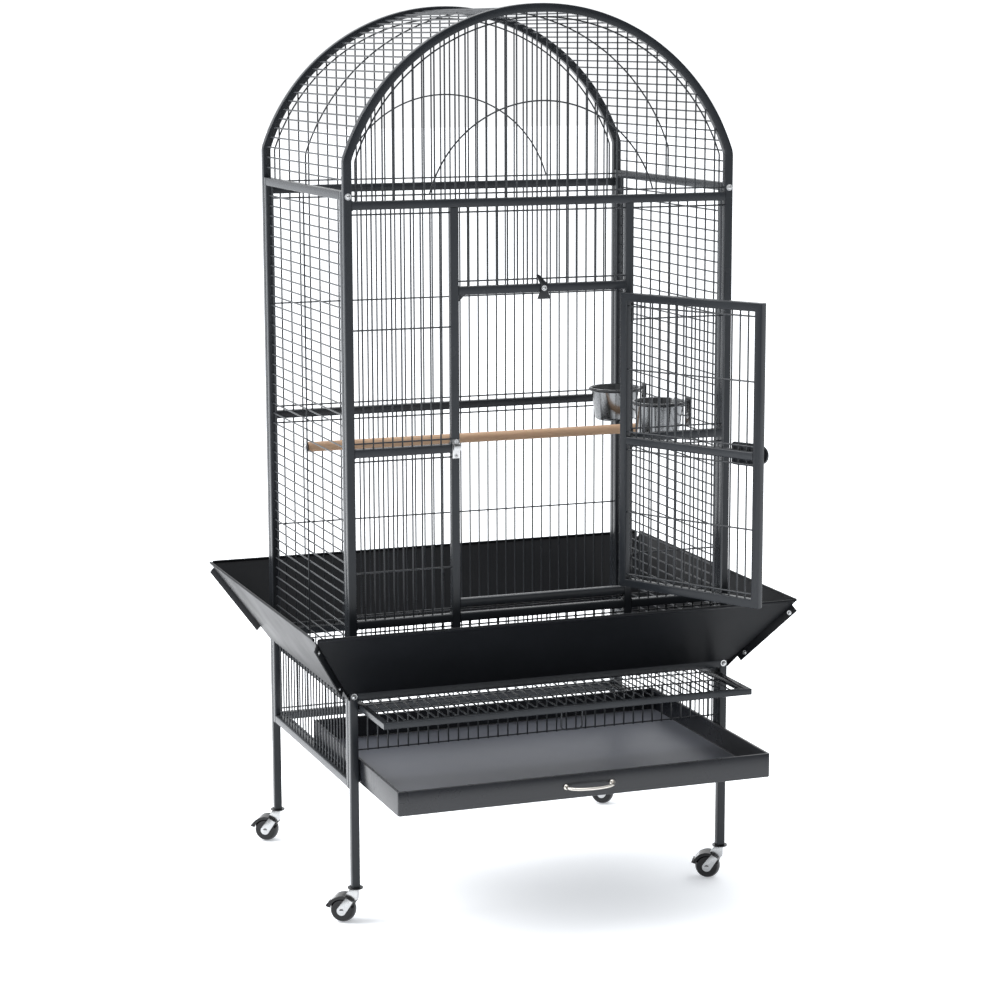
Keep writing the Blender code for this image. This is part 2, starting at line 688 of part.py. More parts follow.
def door_latch(parent):
    """A turning latch: hub, pawl, disc and knob stacked outward; the pawl hangs down when open."""
    hub, pawl, disc, knob = LATCH_LAYERS
    reach = TUBE + DOOR_GAP + TUBE - DOOR_GAP / 2
    bite = pawl / 3
    edge = [0, -GAP, -hub, -hub - pawl, -hub - pawl - disc, -hub - pawl - disc - knob]
    body = rod((0, edge[1], 0), (0, edge[3] - bite, 0), LATCH_HUB_RADIUS)
    pieces = [
        box((-PAWL_WIDTH / 2, edge[3], -reach), (PAWL_WIDTH / 2, edge[2], 0)),
        rod((0, edge[3], 0), (0, edge[4], 0), LATCH_DISC_RADIUS),
        rod((0, edge[4] + bite, 0), (0, edge[5], 0), LATCH_KNOB_RADIUS),
    ]
    place(combined(body, pieces), "door_latch", STEEL, parent, smooth_deg=40)


def latch_keeper(parent):
    """A screwed plate on the left door post with a lip that the pawl turns up behind."""
    width, height, sheet = KEEPER_PLATE
    hub, pawl, *_ = LATCH_LAYERS
    face = -HALF_DEPTH - GAP
    x0 = -HALF_DOORWAY - (TUBE + width) / 2
    lip_back = -HALF_DEPTH - hub - pawl - KEEPER_CLEARANCE
    low, high = MID_RAIL_Z - height / 2, MID_RAIL_Z + height / 2
    neck = PAWL_WIDTH / 2 + KEEPER_CLEARANCE
    base = box((x0, face - sheet, low), (x0 + width, face, high))
    shelf_z = MID_RAIL_Z + neck
    shelf = box((x0, lip_back, shelf_z), (x0 + width, face - sheet / 2, shelf_z + KEEPER_LIP))
    lip = box(
        (x0, lip_back - KEEPER_LIP, MID_RAIL_Z - neck / 2),
        (x0 + width, lip_back + KEEPER_LIP / 4, shelf_z + KEEPER_LIP),
    )
    place(combined(base, [shelf, lip]), "latch_keeper", ZINC, parent)


def header_catch(parent):
    """A turning catch on the header: an arm to push above it and a flared foot over the door's top."""
    neck, foot, arm = CATCH_NECK_WIDTH / 2, CATCH_FOOT_WIDTH / 2, CATCH_ARM_WIDTH / 2
    waist = TUBE / 2
    outline = [(-foot, -CATCH_FOOT_DROP), (foot, -CATCH_FOOT_DROP), (neck, -waist), (neck, waist)]
    outline += [(arm - CATCH_ARM_LEAN, CATCH_ARM_RISE), (-arm - CATCH_ARM_LEAN, CATCH_ARM_RISE)]
    outline += [(-neck, waist), (-neck, -waist)]
    catch = plate(outline, [], CATCH_PLATE, (0, -GAP - CATCH_PLATE / 2, 0))
    place(catch, "header_catch", STEEL, parent)


def hinge_heights():
    """Middles of the three hinges."""
    inset = HINGE_END_INSET + HINGE_HEIGHT / 2
    return {"lower": DOOR_BOTTOM_Z + inset, "middle": MID_RAIL_Z, "upper": DOOR_TOP_Z - inset}


def hinge(label, height, frame_parent, door_parent):
    """A butt hinge: the post leaf carries the pin, the door leaf turns on it."""
    third = HINGE_HEIGHT / 6
    low, high = height - HINGE_HEIGHT / 2, height + HINGE_HEIGHT / 2
    clear = HINGE_BARREL_RADIUS + HINGE_KNUCKLE_GAP * 2
    lower_knuckle, upper_knuckle = height - third, height + third
    gap = HINGE_KNUCKLE_GAP / 2
    back, face = HINGE_STANDOFF - GAP, HINGE_STANDOFF - GAP - HINGE_LEAF
    origin = Vector((HINGE_X, HINGE_Y, 0))

    post = [
        rod((0, 0, low), (0, 0, lower_knuckle - gap), HINGE_BARREL_RADIUS, steps=12),
        rod((0, 0, upper_knuckle + gap), (0, 0, high), HINGE_BARREL_RADIUS, steps=12),
        rod((0, 0, low + gap), (0, 0, high - gap), HINGE_PIN_RADIUS, steps=12),
        box((0, face, low), (clear + gap, back, lower_knuckle - gap)),
        box((0, face, upper_knuckle + gap), (clear + gap, back, high)),
    ]
    leaf = combined(box((clear, face, low), (HINGE_LEAF_WIDTH, back, high)), post)
    leaf.data.transform(Matrix.Translation(origin))
    place(leaf, f"hinge_{label}_post_leaf", STEEL, frame_parent)

    door_side = [
        rod((0, 0, lower_knuckle + gap), (0, 0, upper_knuckle - gap), HINGE_BARREL_RADIUS, steps=12),
        box((-clear - gap, face, lower_knuckle + gap), (0, back, upper_knuckle - gap)),
    ]
    leaf = combined(box((-HINGE_LEAF_WIDTH, face, low), (-clear, back, high)), door_side)
    bore = rod((0, 0, low), (0, 0, high), HINGE_BORE_RADIUS, steps=12)
    place(combined(leaf, [bore], "DIFFERENCE"), f"hinge_{label}_door_leaf", STEEL, door_parent)


def skirt_panel(rows, face, flare, trim):
    """A flared sheet panel facing -Y through rows of (height, half length), with a rolled rim on top."""
    made = bmesh.new()
    lowest, top = rows[0][0], rows[-1][0]
    corners = []
    for z, half in rows:
        y = -face - flare * (z - lowest) / (top - lowest)
        corners.append([made.verts.new((x, y, z)) for x in (trim - half, half - trim)])
    for (a, b), (c, d) in zip(corners, corners[1:]):
        made.faces.new((a, b, d, c))
    obj = from_bmesh(made)
    solidify = obj.modifiers.new("Sheet", "SOLIDIFY")
    solidify.thickness = SKIRT_SHEET
    solidify.offset = 1
    solidify.use_even_offset = True
    panel = baked(obj)
    rim_reach = rows[-1][1] - 2 * trim
    rim_y = -face - flare
    rim = rod((-rim_reach, rim_y, SKIRT_RIM_Z), (rim_reach, rim_y, SKIRT_RIM_Z), SKIRT_RIM_RADIUS, steps=8)
    return combined(panel, [rim])


def seam_strip(side):
    """The strip that stands out from the corner between a front and a side skirt panel."""
    width, thickness = SKIRT_STRIP
    rise = (SKIRT_FRONT_Z - SKIRT_SIDE_Z) / (SKIRT_RIM_Z - SKIRT_SIDE_Z)
    low = Vector((HALF_WIDTH + SKIRT_FLARE_X * rise, -HALF_DEPTH, SKIRT_FRONT_Z))
    high = Vector((HALF_WIDTH + SKIRT_FLARE_X, -HALF_DEPTH - SKIRT_FLARE_Y, SKIRT_RIM_Z))
    along = (high - low).normalized()
    outward = Vector((along.x, along.y, 0)).normalized()
    across = (outward - along * outward.dot(along)).normalized()
    normal = along.cross(across)
    length = (high - low).length - 2 * SKIRT_STRIP_SHORT
    made = bmesh.new()
    bmesh.ops.create_cube(made, size=1)
    bmesh.ops.scale(made, vec=(length, width, thickness), verts=made.verts)
    turn = Matrix((along, across, normal)).transposed().to_4x4()
    middle = (low + high) / 2 + across * (width / 2 - SKIRT_SHEET)
    bmesh.ops.transform(made, matrix=Matrix.Translation(middle) @ turn, verts=made.verts)
    strip = from_bmesh(made)
    if side < 0:
        strip.data.transform(Matrix.Diagonal((-1, 1, 1, 1)))
        strip.data.flip_normals()
    return strip


def skirt(parent):
    """Four flared panels round the foot of the cage, with a seam strip at each corner."""
    rise = (SKIRT_FRONT_Z - SKIRT_SIDE_Z) / (SKIRT_RIM_Z - SKIRT_SIDE_Z)
    corner = HALF_WIDTH + SKIRT_FLARE_X * rise
    for name, turn in (("front_skirt", 0.0), ("rear_skirt", math.pi)):
        rows = [(SKIRT_FRONT_Z, corner), (SKIRT_RIM_Z, HALF_WIDTH + SKIRT_FLARE_X)]
        panel = skirt_panel(rows, HALF_DEPTH + GAP, SKIRT_FLARE_Y, SKIRT_SHEET)
        panel = combined(panel, [seam_strip(-1), seam_strip(1)])
        panel.data.transform(Matrix.Rotation(turn, 4, "Z"))
        place(panel, name, SHEET, parent)
    for name, turn in (("right_skirt", math.pi / 2), ("left_skirt", -math.pi / 2)):
        rows = [(SKIRT_SIDE_Z, HALF_DEPTH), (SKIRT_FRONT_Z, HALF_DEPTH)]
        rows.append((SKIRT_RIM_Z, HALF_DEPTH + SKIRT_FLARE_Y))
        panel = skirt_panel(rows, HALF_WIDTH + GAP, SKIRT_FLARE_X, SKIRT_SIDE_TRIM)
        panel.data.transform(Matrix.Rotation(turn, 4, "Z"))
        place(panel, name, SHEET, parent)


def grille(parent):
    """The pulled-out floor grille: a square bar frame with its pull, and bars front to back."""
    front = -HALF_DEPTH - SLIDE_PROUD
    half = INNER_X - GRILLE_SIDE_CLEARANCE
    span, run = (-half, half), (front, front + SLIDE_REACH)
    clear = (-half + GRILLE_HEIGHT, half - GRILLE_HEIGHT)
    bay = (front + GRILLE_HEIGHT, front + SLIDE_REACH - GRILLE_HEIGHT)
    middle = (0, 0, GRILLE_TOP_Z - GRILLE_HEIGHT / 2)
    frame = plate(rectangle(span, run), [rectangle(clear, bay)], GRILLE_HEIGHT, middle, LYING_FLAT)
    width, drop = GRILLE_PULL
    under_rail = GRILLE_TOP_Z - GRILLE_HEIGHT
    y = front + WIRE
    loop = [
        (-width / 2, y, under_rail + WIRE),
        (-width / 2 + WIRE, y, under_rail - drop),
        (width / 2 - WIRE, y, under_rail - drop),
        (width / 2, y, under_rail + WIRE),
    ]
    place(combined(frame, [bent_wire(loop, WIRE_HALF)]), "grille_frame", STEEL, parent)
    bars = bars_across(clear, BAR_PITCH)
    wires = bar_panel(bars, clear, bay, middle, LYING_FLAT)
    place(wires, "grille_wires", WIRES, parent)


def tray(parent):
    """The pulled-out tray: a folded sheet pan with a hemmed rim, and its bow handle."""
    front = -HALF_DEPTH - SLIDE_PROUD
    half = INNER_X - TRAY_SIDE_CLEARANCE
    low = TRAY_RIM_Z - TRAY_HEIGHT
    pan = box((-half, front, low), (half, front + SLIDE_REACH, TRAY_RIM_Z))
    made = bmesh.new()
    made.from_mesh(pan.data)
    lid = max(made.faces, key=lambda face: face.calc_center_median().z)
    bmesh.ops.inset_individual(made, faces=[lid], thickness=TRAY_HEM)
    bmesh.ops.delete(made, geom=[lid], context="FACES_ONLY")
    made.to_mesh(pan.data)
    made.free()
    solidify = pan.modifiers.new("Sheet", "SOLIDIFY")
    solidify.thickness = TRAY_SHEET
    solidify.offset = -1
    solidify.use_even_offset = True
    place(baked(pan), "tray", SHEET, parent)

    middle_z = TRAY_RIM_Z - TRAY_HEIGHT / 2
    steps = 10
    bow = [
        (
            -HANDLE_WIDTH / 2 * math.cos(math.pi * i / steps),
            front - GAP - HANDLE_RADIUS - HANDLE_RISE * math.sin(math.pi * i / steps),
            middle_z,
        )
        for i in range(steps + 1)
    ]
    base = front - GAP
    tip = base - 2 * HANDLE_RADIUS
    feet = [
        rod((x, base, middle_z), (x, tip, middle_z), HANDLE_FOOT_RADIUS, steps=12)
        for x in (-HANDLE_WIDTH / 2, HANDLE_WIDTH / 2)
    ]
    place(combined(bent_wire(bow, HANDLE_RADIUS), feet), "tray_handle", NICKEL, parent, smooth_deg=40)


def caster_fork_mesh():
    """Collar, neck, hooded fork and axle of a caster; the ball trails along +X."""
    x, z = CASTER_TRAIL, BALL_RADIUS
    inner = BALL_RADIUS + BALL_CLEARANCE
    outer = inner + CASTER_HOOD
    start, end = (math.radians(angle) for angle in HOOD_SPAN_DEG)
    cheek_near = BALL_HALF_WIDTH + CASTER_CHEEK_GAP
    cheek_far = cheek_near + CASTER_CHEEK
    sector = arc((x, z), outer, start, end, HOOD_STEPS)
    sector += arc((x, z), 2 * AXLE_RADIUS, end, start + 2 * math.pi, HOOD_STEPS // 2)
    fork = plate(sector, [], 2 * cheek_far, (0, 0, 0))
    cavity = rod((x, -cheek_near, z), (x, cheek_near, z), inner, steps=24)
    fork = combined(fork, [cavity], "DIFFERENCE")
    radius, thickness = CASTER_COLLAR
    top = LEG_FOOT_Z - GAP
    crown = z + inner + CASTER_HOOD / 4
    neck = CASTER_NECK_RADIUS
    pieces = [
        rod((0, 0, top - thickness), (0, 0, top), radius),
        rod((0, 0, crown - thickness), (0, 0, top - thickness / 2), neck, steps=12),
        box((0, -neck / 2, crown), (x, neck / 2, z + outer + thickness)),
        rod((x, -cheek_far + thickness / 4, z), (x, cheek_far - thickness / 4, z), AXLE_RADIUS, steps=12),
    ]
    return combined(fork, pieces)


def caster_ball_mesh():
    """The ball of a caster, cut flat at both cheeks and bored for the axle, about its own middle."""
    flat = math.asin(BALL_HALF_WIDTH / BALL_RADIUS)
    outside = arc((0, 0), BALL_RADIUS, flat, -flat, BALL_STEPS)
    bore = AXLE_RADIUS + AXLE_CLEARANCE
    profile = [(bore, BALL_HALF_WIDTH), *outside, (bore, -BALL_HALF_WIDTH)]
    tilt = Matrix.Rotation(math.pi / 2, 4, "X")
    return turned(profile, (0, 0, 0), closed=True, tilt=tilt)


def casters(parent):
    """Four swivel casters, all trailing the same way."""
    names = {(-1, -1): "front_left", (1, -1): "front_right", (-1, 1): "rear_left", (1, 1): "rear_right"}
    fork_mesh = caster_fork_mesh()
    ball_mesh = caster_ball_mesh()
    for x, y in WHEEL_MIDDLES:
        label = names[(x, y)]
        stem = (x * (HALF_WIDTH - TUBE / 2), y * (HALF_DEPTH - TUBE / 2), 0)
        swivel = add_empty(f"caster_{label}_swivel", stem, CASTER_TURN_DEG, parent)
        fork = bpy.data.objects.new("working", fork_mesh.data.copy())
        place(fork, f"caster_{label}_fork", PLASTIC, swivel, smooth_deg=35)
        ball = bpy.data.objects.new("working", ball_mesh.data.copy())
        place(ball, f"caster_{label}_ball", PLASTIC, swivel, smooth_deg=50)
        ball.location = (CASTER_TRAIL, 0, BALL_RADIUS)
    for helper in (fork_mesh, ball_mesh):
        bpy.data.objects.remove(helper, do_unlink=True)


def perch(parent):
    """A round wooden perch from side to side, level with the cups' feet."""
    end = HALF_WIDTH - TUBE / 2 - WIRE_HALF - GAP
    wood = rod((-end, PERCH_Y, PERCH_Z), (end, PERCH_Y, PERCH_Z), PERCH_RADIUS, steps=20)
    place(wood, "perch", WOOD, parent, smooth_deg=40)


def cup_and_holder(label, y, parent):
    """A rimmed steel cup resting in a ring, and the ring on a plate against the side wires."""
    t = CUP_SHEET
    ring_middle = CUP_RADIUS + HOLDER_CLEARANCE + HOLDER_RING_RADIUS
    plate_depth, plate_width, plate_height = HOLDER_PLATE
    wires = HALF_WIDTH - TUBE / 2 - WIRE_HALF - GAP
    arm_reach, arm_width = HOLDER_ARM
    x = wires - plate_depth - arm_reach - ring_middle
    top, low = CUP_RIM_Z, CUP_RIM_Z - CUP_HEIGHT
    rim = CUP_RADIUS + CUP_RIM
    foot_bend = CUP_HEIGHT / 8
    profile = [
        (0, low + t),
        (CUP_FOOT_RADIUS - foot_bend / 2, low + t),
        (CUP_FOOT_RADIUS - t, low + foot_bend),
        (CUP_RADIUS - t, top - t),
        (CUP_RADIUS - t, top),
        (rim, top),
        (rim, top - t),
        (CUP_RADIUS, top - t),
        (CUP_FOOT_RADIUS, low + foot_bend),
        (CUP_FOOT_RADIUS - foot_bend / 2, low),
        (0, low),
    ]
    cup = turned(profile, (x, y, 0), closed=False, steps=20)
    place(cup, f"{label}_cup", STAINLESS, parent, smooth_deg=40)
    ring_z = top - t - GAP - HOLDER_RING_RADIUS
    circle = arc((0, ring_z), HOLDER_RING_RADIUS, 0, -1.75 * math.pi, 7)
    profile = [(ring_middle + across, up) for across, up in circle]
    ring = turned(profile, (x, y, 0), closed=True, steps=20)
    hook_high = top + HOLDER_RING_RADIUS
    hook_low = hook_high - plate_height
    back = box((wires - plate_depth, y - plate_width / 2, hook_low), (wires, y + plate_width / 2, hook_high))
    thin = HOLDER_RING_RADIUS * 0.8
    arm = box(
        (x + ring_middle, y - arm_width / 2, ring_z - thin),
        (wires - plate_depth / 2, y + arm_width / 2, ring_z + thin),
    )
    place(combined(ring, [back, arm]), f"{label}_cup_holder", STEEL, parent)


def outline_middle():
    """Middle of the whole outline across the floor."""
    bpy.context.view_layer.update()
    pieces = [obj for obj in CAGE.objects if obj.type == "MESH"]
    points = [obj.matrix_world @ vertex.co for obj in pieces for vertex in obj.data.vertices]
    across = [point.x for point in points]
    along = [point.y for point in points]
    return Vector(((min(across) + max(across)) / 2, (min(along) + max(along)) / 2, 0))


def build():
    """Make every piece, then slide the cage so that its outline is centred on the origin."""
    root = add_empty("cage_root", (0, 0, 0))
    front_frame(root)
    rear_frame(root)
    side_frame("left_side_frame", -1, root)
    side_frame("right_side_frame", 1, root)
    front_panels(root)
    rear_panels(root)
    side_panels("left", -1, root)
    side_panels("right", 1, root)
    arch_panel("front", -1, root)
    arch_panel("rear", 1, root)
    roof(root)
    door_axis = add_empty("door_axis", (HINGE_X, HINGE_Y, 0), DOOR_OPEN_DEG, root)
    door(door_axis)
    for label, height in hinge_heights().items():
        hinge(label, height, root, door_axis)
    latch_keeper(root)
    header_catch(add_empty("catch_axis", (0, -HALF_DEPTH, HEADER_Z), parent=root))
    skirt(root)
    grille(add_empty("grille_slide", (0, -GRILLE_PULLED, 0), parent=root))
    tray(add_empty("tray_slide", (0, -TRAY_PULLED, 0), parent=root))
    casters(root)
    perch(root)
    cup_and_holder("front", -CUP_Y, root)
    cup_and_holder("rear", CUP_Y, root)
    root.location = -outline_middle()
    bpy.context.view_layer.update()


clear_scene()
CAGE = new_collection("bird_cage")
WORKSHOP = new_collection("workshop")
build()
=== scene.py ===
"""Looks of a domed bird cage on a wheeled stand: round wires, tubes, sheet, fittings and their finishes."""

import logging
import math
from dataclasses import dataclass
from enum import Enum
from typing import Callable, Iterable, Sequence

import bmesh
import bpy
from mathutils import Matrix, Vector


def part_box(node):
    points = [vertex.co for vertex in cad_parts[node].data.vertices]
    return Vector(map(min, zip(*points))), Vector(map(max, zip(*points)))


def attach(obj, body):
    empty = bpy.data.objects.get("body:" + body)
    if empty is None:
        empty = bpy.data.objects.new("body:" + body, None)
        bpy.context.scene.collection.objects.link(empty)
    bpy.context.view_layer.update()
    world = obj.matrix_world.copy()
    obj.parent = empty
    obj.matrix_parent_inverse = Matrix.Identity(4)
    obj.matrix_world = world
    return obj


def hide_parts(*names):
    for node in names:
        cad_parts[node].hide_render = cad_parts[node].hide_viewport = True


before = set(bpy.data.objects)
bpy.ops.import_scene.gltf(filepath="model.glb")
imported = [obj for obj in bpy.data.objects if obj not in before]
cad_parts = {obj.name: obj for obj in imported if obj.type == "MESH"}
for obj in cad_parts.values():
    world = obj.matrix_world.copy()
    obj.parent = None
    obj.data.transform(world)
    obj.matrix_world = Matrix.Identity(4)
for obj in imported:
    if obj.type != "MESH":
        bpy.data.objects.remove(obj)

LOG = logging.getLogger("bird_cage")
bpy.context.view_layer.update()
UP = Vector((0, 0, 1))
RIGHT = Vector((1, 0, 0))
BACK = Vector((0, 1, 0))


class Body(Enum):
    """Bodies of the frame that pieces ride on."""

    CAGE = "cage"
    DOOR = "door"
    LATCH = "door_latch"
    CATCH = "header_catch"
    GRILLE = "grille"
    TRAY = "tray"
    FRONT_CUP = "front_cup"
    REAR_CUP = "rear_cup"


@dataclass(frozen=True)
class Sizes:
    """Driving sizes of the cage in metres, as the frame has them."""

    tube: float = 0.0155
    wire: float = 0.0015
    inset: float = 0.009
    bar_pitch: float = 0.01975
    front_pitch: float = 0.0186
    half_width: float = 0.381
    half_depth: float = 0.278
    gap: float = 0.0003
    leg_foot: float = 0.068
    arch_radius: float = 0.402
    arch_centre: float = 1.287
    arch_bend: float = 0.045
    decor_radius: float = 0.2275
    bottom_rail: float = 0.2632
    base_rail: float = 0.4330
    rear_base_rail: float = 0.4385
    floor_rail: float = 0.5667
    sill: float = 0.5936
    mid_rail: float = 0.8848
    header: float = 1.1738
    top_rail: float = 1.3327
    side_top: float = 1.3498
    half_doorway: float = 0.1645
    lower_stiffener: float = 0.662
    upper_stiffener: float = 1.108

    @property
    def inner_x(self) -> float:
        """Inner face of the posts."""
        return self.half_width - self.tube

    @property
    def door_post_x(self) -> float:
        """Outer face of the door posts."""
        return self.half_doorway + self.tube

    @property
    def side_reach(self) -> float:
        """Half the length of the side frames."""
        return self.half_depth - self.tube - self.gap

    @property
    def shift(self) -> float:
        """How far back the middle of the cage stands from the origin."""
        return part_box("front_frame")[0][1] + self.half_depth

    def under(self, rail: float) -> float:
        """Lower face of a rail whose middle is at this height."""
        return rail - self.tube / 2

    def over(self, rail: float) -> float:
        """Upper face of a rail whose middle is at this height."""
        return rail + self.tube / 2


SIZES = Sizes()
HOME = Matrix.Translation((0, SIZES.shift, 0))


def spread(span: tuple[float, float], pitch: float) -> list[float]:
    """Middles of bars that fill a span evenly at about a pitch.

    Args:
        span: The two ends of the span.
        pitch: The wanted distance from bar to bar.

    Returns:
        The bars' places along the span.
    """
    count = round((span[1] - span[0]) / pitch) - 1
    step = (span[1] - span[0]) / (count + 1)
    return [span[0] + step * (i + 1) for i in range(count)]


def circle(radius: float, sides: int) -> list[tuple[float, float]]:
    """Points of a round section."""
    return [
        (radius * math.cos(math.tau * i / sides), radius * math.sin(math.tau * i / sides))
        for i in range(sides)
    ]


def rounded_square(size: float, corner: float, steps: int = 3) -> list[tuple[float, float]]:
    """Points of a square section with rounded corners.

    Args:
        size: Width over the flats.
        corner: Radius of each corner.
        steps: Segments in each corner.

    Returns:
        The section's points in order.
    """
    flat = size / 2 - corner
    points = []
    for quarter in range(4):
        centre_x = flat if quarter in (0, 3) else -flat
        centre_y = flat if quarter in (0, 1) else -flat
        for i in range(steps + 1):
            angle = math.pi / 2 * (quarter + i / steps)
            points.append((centre_x + corner * math.cos(angle), centre_y + corner * math.sin(angle)))
    return points


def arc(
    centre: tuple[float, float], radius: float, start: float, end: float, steps: int
) -> list[tuple[float, float]]:
    """Points along an arc, with angles in radians from +X."""
    turn = (end - start) / steps
    return [
        (centre[0] + radius * math.cos(start + turn * i), centre[1] + radius * math.sin(start + turn * i))
        for i in range(steps + 1)
    ]


def portal_line(inset: float, dome_steps: int = 64, bend_steps: int = 8) -> list[tuple[float, float]]:
    """Left to right over the arch, along a line set in from the portal's outer face.

    Args:
        inset: Distance in from the outer face.
        dome_steps: Segments of the dome.
        bend_steps: Segments of each bend.

    Returns:
        The line's points as (x, z).
    """
    s = SIZES
    across = s.half_width - s.arch_bend
    rise = math.sqrt((s.arch_radius - s.arch_bend) ** 2 - across**2)
    height = s.arch_centre + rise
    lift = math.atan2(rise, across)
    left = arc((-across, height), s.arch_bend - inset, math.pi, math.pi - lift, bend_steps)
    dome = arc((0, s.arch_centre), s.arch_radius - inset, math.pi - lift, lift, dome_steps)
    right = arc((across, height), s.arch_bend - inset, lift, 0, bend_steps)
    return left + dome[1:-1] + right


def height_under_arch(x: float, inset: float) -> float:
    """Height of the arch's parallel line over a point across the cage."""
    line = portal_line(inset)
    for (x0, z0), (x1, z1) in zip(line, line[1:]):
        if x0 <= x <= x1 and x1 > x0:
            return z0 + (z1 - z0) * (x - x0) / (x1 - x0)
    return line[0][1]


class Shape:
    """Closed forms gathered into one mesh."""

    def __init__(self) -> None:
        """Start with nothing."""
        self.points: list[Vector] = []
        self.faces: list[list[int]] = []

    def rings(self, rings: Sequence[Sequence[Vector]], loop: bool = False) -> "Shape":
        """Add a skin over rings of equal count, with its ends closed unless it loops.

        Args:
            rings: The rings in order.
            loop: True where the last ring meets the first.

        Returns:
            This shape.
        """
        first = len(self.points)
        count = len(rings[0])
        for ring in rings:
            self.points.extend(Vector(point) for point in ring)
        total = len(rings)
        for i in range(total if loop else total - 1):
            a, b = first + i * count, first + (i + 1) % total * count
            for j in range(count):
                k = (j + 1) % count
                self.faces.append([a + j, a + k, b + k, b + j])
        if not loop:
            self.faces.append([first + j for j in reversed(range(count))])
            self.faces.append([first + (total - 1) * count + j for j in range(count)])
        return self

    def sweep(
        self,
        path: Iterable[Sequence[float]],
        section: Sequence[tuple[float, float]],
        side: Vector,
        loop: bool = False,
    ) -> "Shape":
        """Add a section swept along a flat path.

        Args:
            path: Points of the path.
            section: Points of the section, first along side and then across the path.
            side: The direction square to the path's plane.
            loop: True for a closed path.

        Returns:
            This shape.
        """
        line = [Vector(point) for point in path]
        last = len(line) - 1
        rings = []
        for i, at in enumerate(line):
            before = at - line[i - 1] if i or loop else line[1] - at
            after = line[(i + 1) % len(line)] - at if i < last or loop else at - line[i - 1]
            before.normalize()
            after.normalize()
            along = (before + after).normalized()
            across = along.cross(side).normalized()
            mitre = 1 / max(0.5, along.dot(after))
            rings.append([at + side * a + across * (b * mitre) for a, b in section])
        return self.rings(rings, loop)

    def rod(self, start: Sequence[float], end: Sequence[float], radius: float, sides: int = 10) -> "Shape":
        """Add a round bar between two points."""
        along = Vector(end) - Vector(start)
        return self.sweep((start, end), circle(radius, sides), along.orthogonal().normalized())

    def bent_rod(
        self, path: Sequence[Sequence[float]], radius: float, side: Vector, sides: int = 10
    ) -> "Shape":
        """Add a round bar along a flat path."""
        return self.sweep(path, circle(radius, sides), side)

    def tube(self, path: Sequence[Sequence[float]], side: Vector, size: float = SIZES.tube) -> "Shape":
        """Add a square tube with rounded corners along a flat path."""
        return self.sweep(path, rounded_square(size, size * 0.13), side)

    def turned(self, profile: Sequence[tuple[float, float]], place: Matrix, steps: int = 32) -> "Shape":
        """Add a closed profile of (radius, height) turned about the place's own Z axis.

        Args:
            profile: The profile's points; ends on the axis are closed to a point.
            place: Where the turned form's own origin and axes lie.
            steps: Segments round the axis.

        Returns:
            This shape.
        """
        rings = []
        for i in range(steps):
            angle = math.tau * i / steps
            turn = Matrix.Rotation(angle, 4, "Z")
            rings.append([place @ turn @ Vector((radius, 0, height)) for radius, height in profile])
        return self.rings(rings, loop=True)

    def block(
        self, low: Sequence[float], high: Sequence[float], edge: float = 0.0004, place: Matrix | None = None
    ) -> "Shape":
        """Add a box with rounded edges.

        Args:
            low: Lowest corner.
            high: Highest corner.
            edge: Radius of the edges.
            place: Where the box's own axes lie.

        Returns:
            This shape.
        """
        made = bmesh.new()
        bmesh.ops.create_cube(made, size=1)
        bmesh.ops.scale(made, vec=Vector(high) - Vector(low), verts=made.verts)
        bmesh.ops.translate(made, vec=(Vector(high) + Vector(low)) / 2, verts=made.verts)
        bmesh.ops.bevel(made, geom=made.edges[:], offset=edge, segments=2, profile=0.5, affect="EDGES")
        return self.take(made, place)

    def plate(
        self,
        outline: Sequence[tuple[float, float]],
        thickness: float,
        place: Matrix,
        edge: float = 0.0004,
    ) -> "Shape":
        """Add a flat outline in its own XY plane, thick along its own Z, with rounded edges."""
        made = bmesh.new()
        face = made.faces.new([made.verts.new((x, y, -thickness / 2)) for x, y in outline])
        grown = bmesh.ops.extrude_face_region(made, geom=[face])["geom"]
        risen = [item for item in grown if isinstance(item, bmesh.types.BMVert)]
        bmesh.ops.translate(made, vec=(0, 0, thickness), verts=risen)
        bmesh.ops.recalc_face_normals(made, faces=made.faces)
        rims = [line for line in made.edges if abs(line.verts[0].co.z - line.verts[1].co.z) < thickness / 2]
        bmesh.ops.bevel(made, geom=rims, offset=edge, segments=2, profile=0.5, affect="EDGES")
        return self.take(made, place)

    def take(self, made: bmesh.types.BMesh, place: Matrix | None = None) -> "Shape":
        """Add what a bmesh holds, and free it."""
        first = len(self.points)
        made.verts.index_update()
        for vert in made.verts:
            self.points.append(place @ vert.co if place else vert.co.copy())
        for face in made.faces:
            self.faces.append([first + vert.index for vert in face.verts])
        made.free()
        return self

    def moved(self, place: Matrix) -> "Shape":
        """Move everything that is here so far."""
        self.points = [place @ point for point in self.points]
        return self

    def piece(self, name: str, finish: "Finish", body: str, smooth_deg: float = 38.0) -> bpy.types.Object:
        """Make the object, dress it and let it ride on a body.

        Args:
            name: The piece's name.
            finish: Its finish.
            body: The body that it rides on.
            smooth_deg: Edges under this angle are shaded smooth.

        Returns:
            The new object.
        """
        mesh = bpy.data.meshes.new(name)
        mesh.from_pydata([tuple(point) for point in self.points], [], self.faces)
        tidy = bmesh.new()
        tidy.from_mesh(mesh)
        bmesh.ops.remove_doubles(tidy, verts=tidy.verts, dist=1e-6)
        bmesh.ops.recalc_face_normals(tidy, faces=tidy.faces)
        tidy.to_mesh(mesh)
        tidy.free()
        mesh.shade_smooth()
        mesh.set_sharp_from_angle(angle=math.radians(smooth_deg))
        mesh.materials.append(finish.material())
        obj = bpy.data.objects.new(name, mesh)
        bpy.context.scene.collection.objects.link(obj)
        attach(obj, body)
        LOG.info("piece %s: %d faces, rides on %s", name, len(mesh.polygons), body)
        return obj


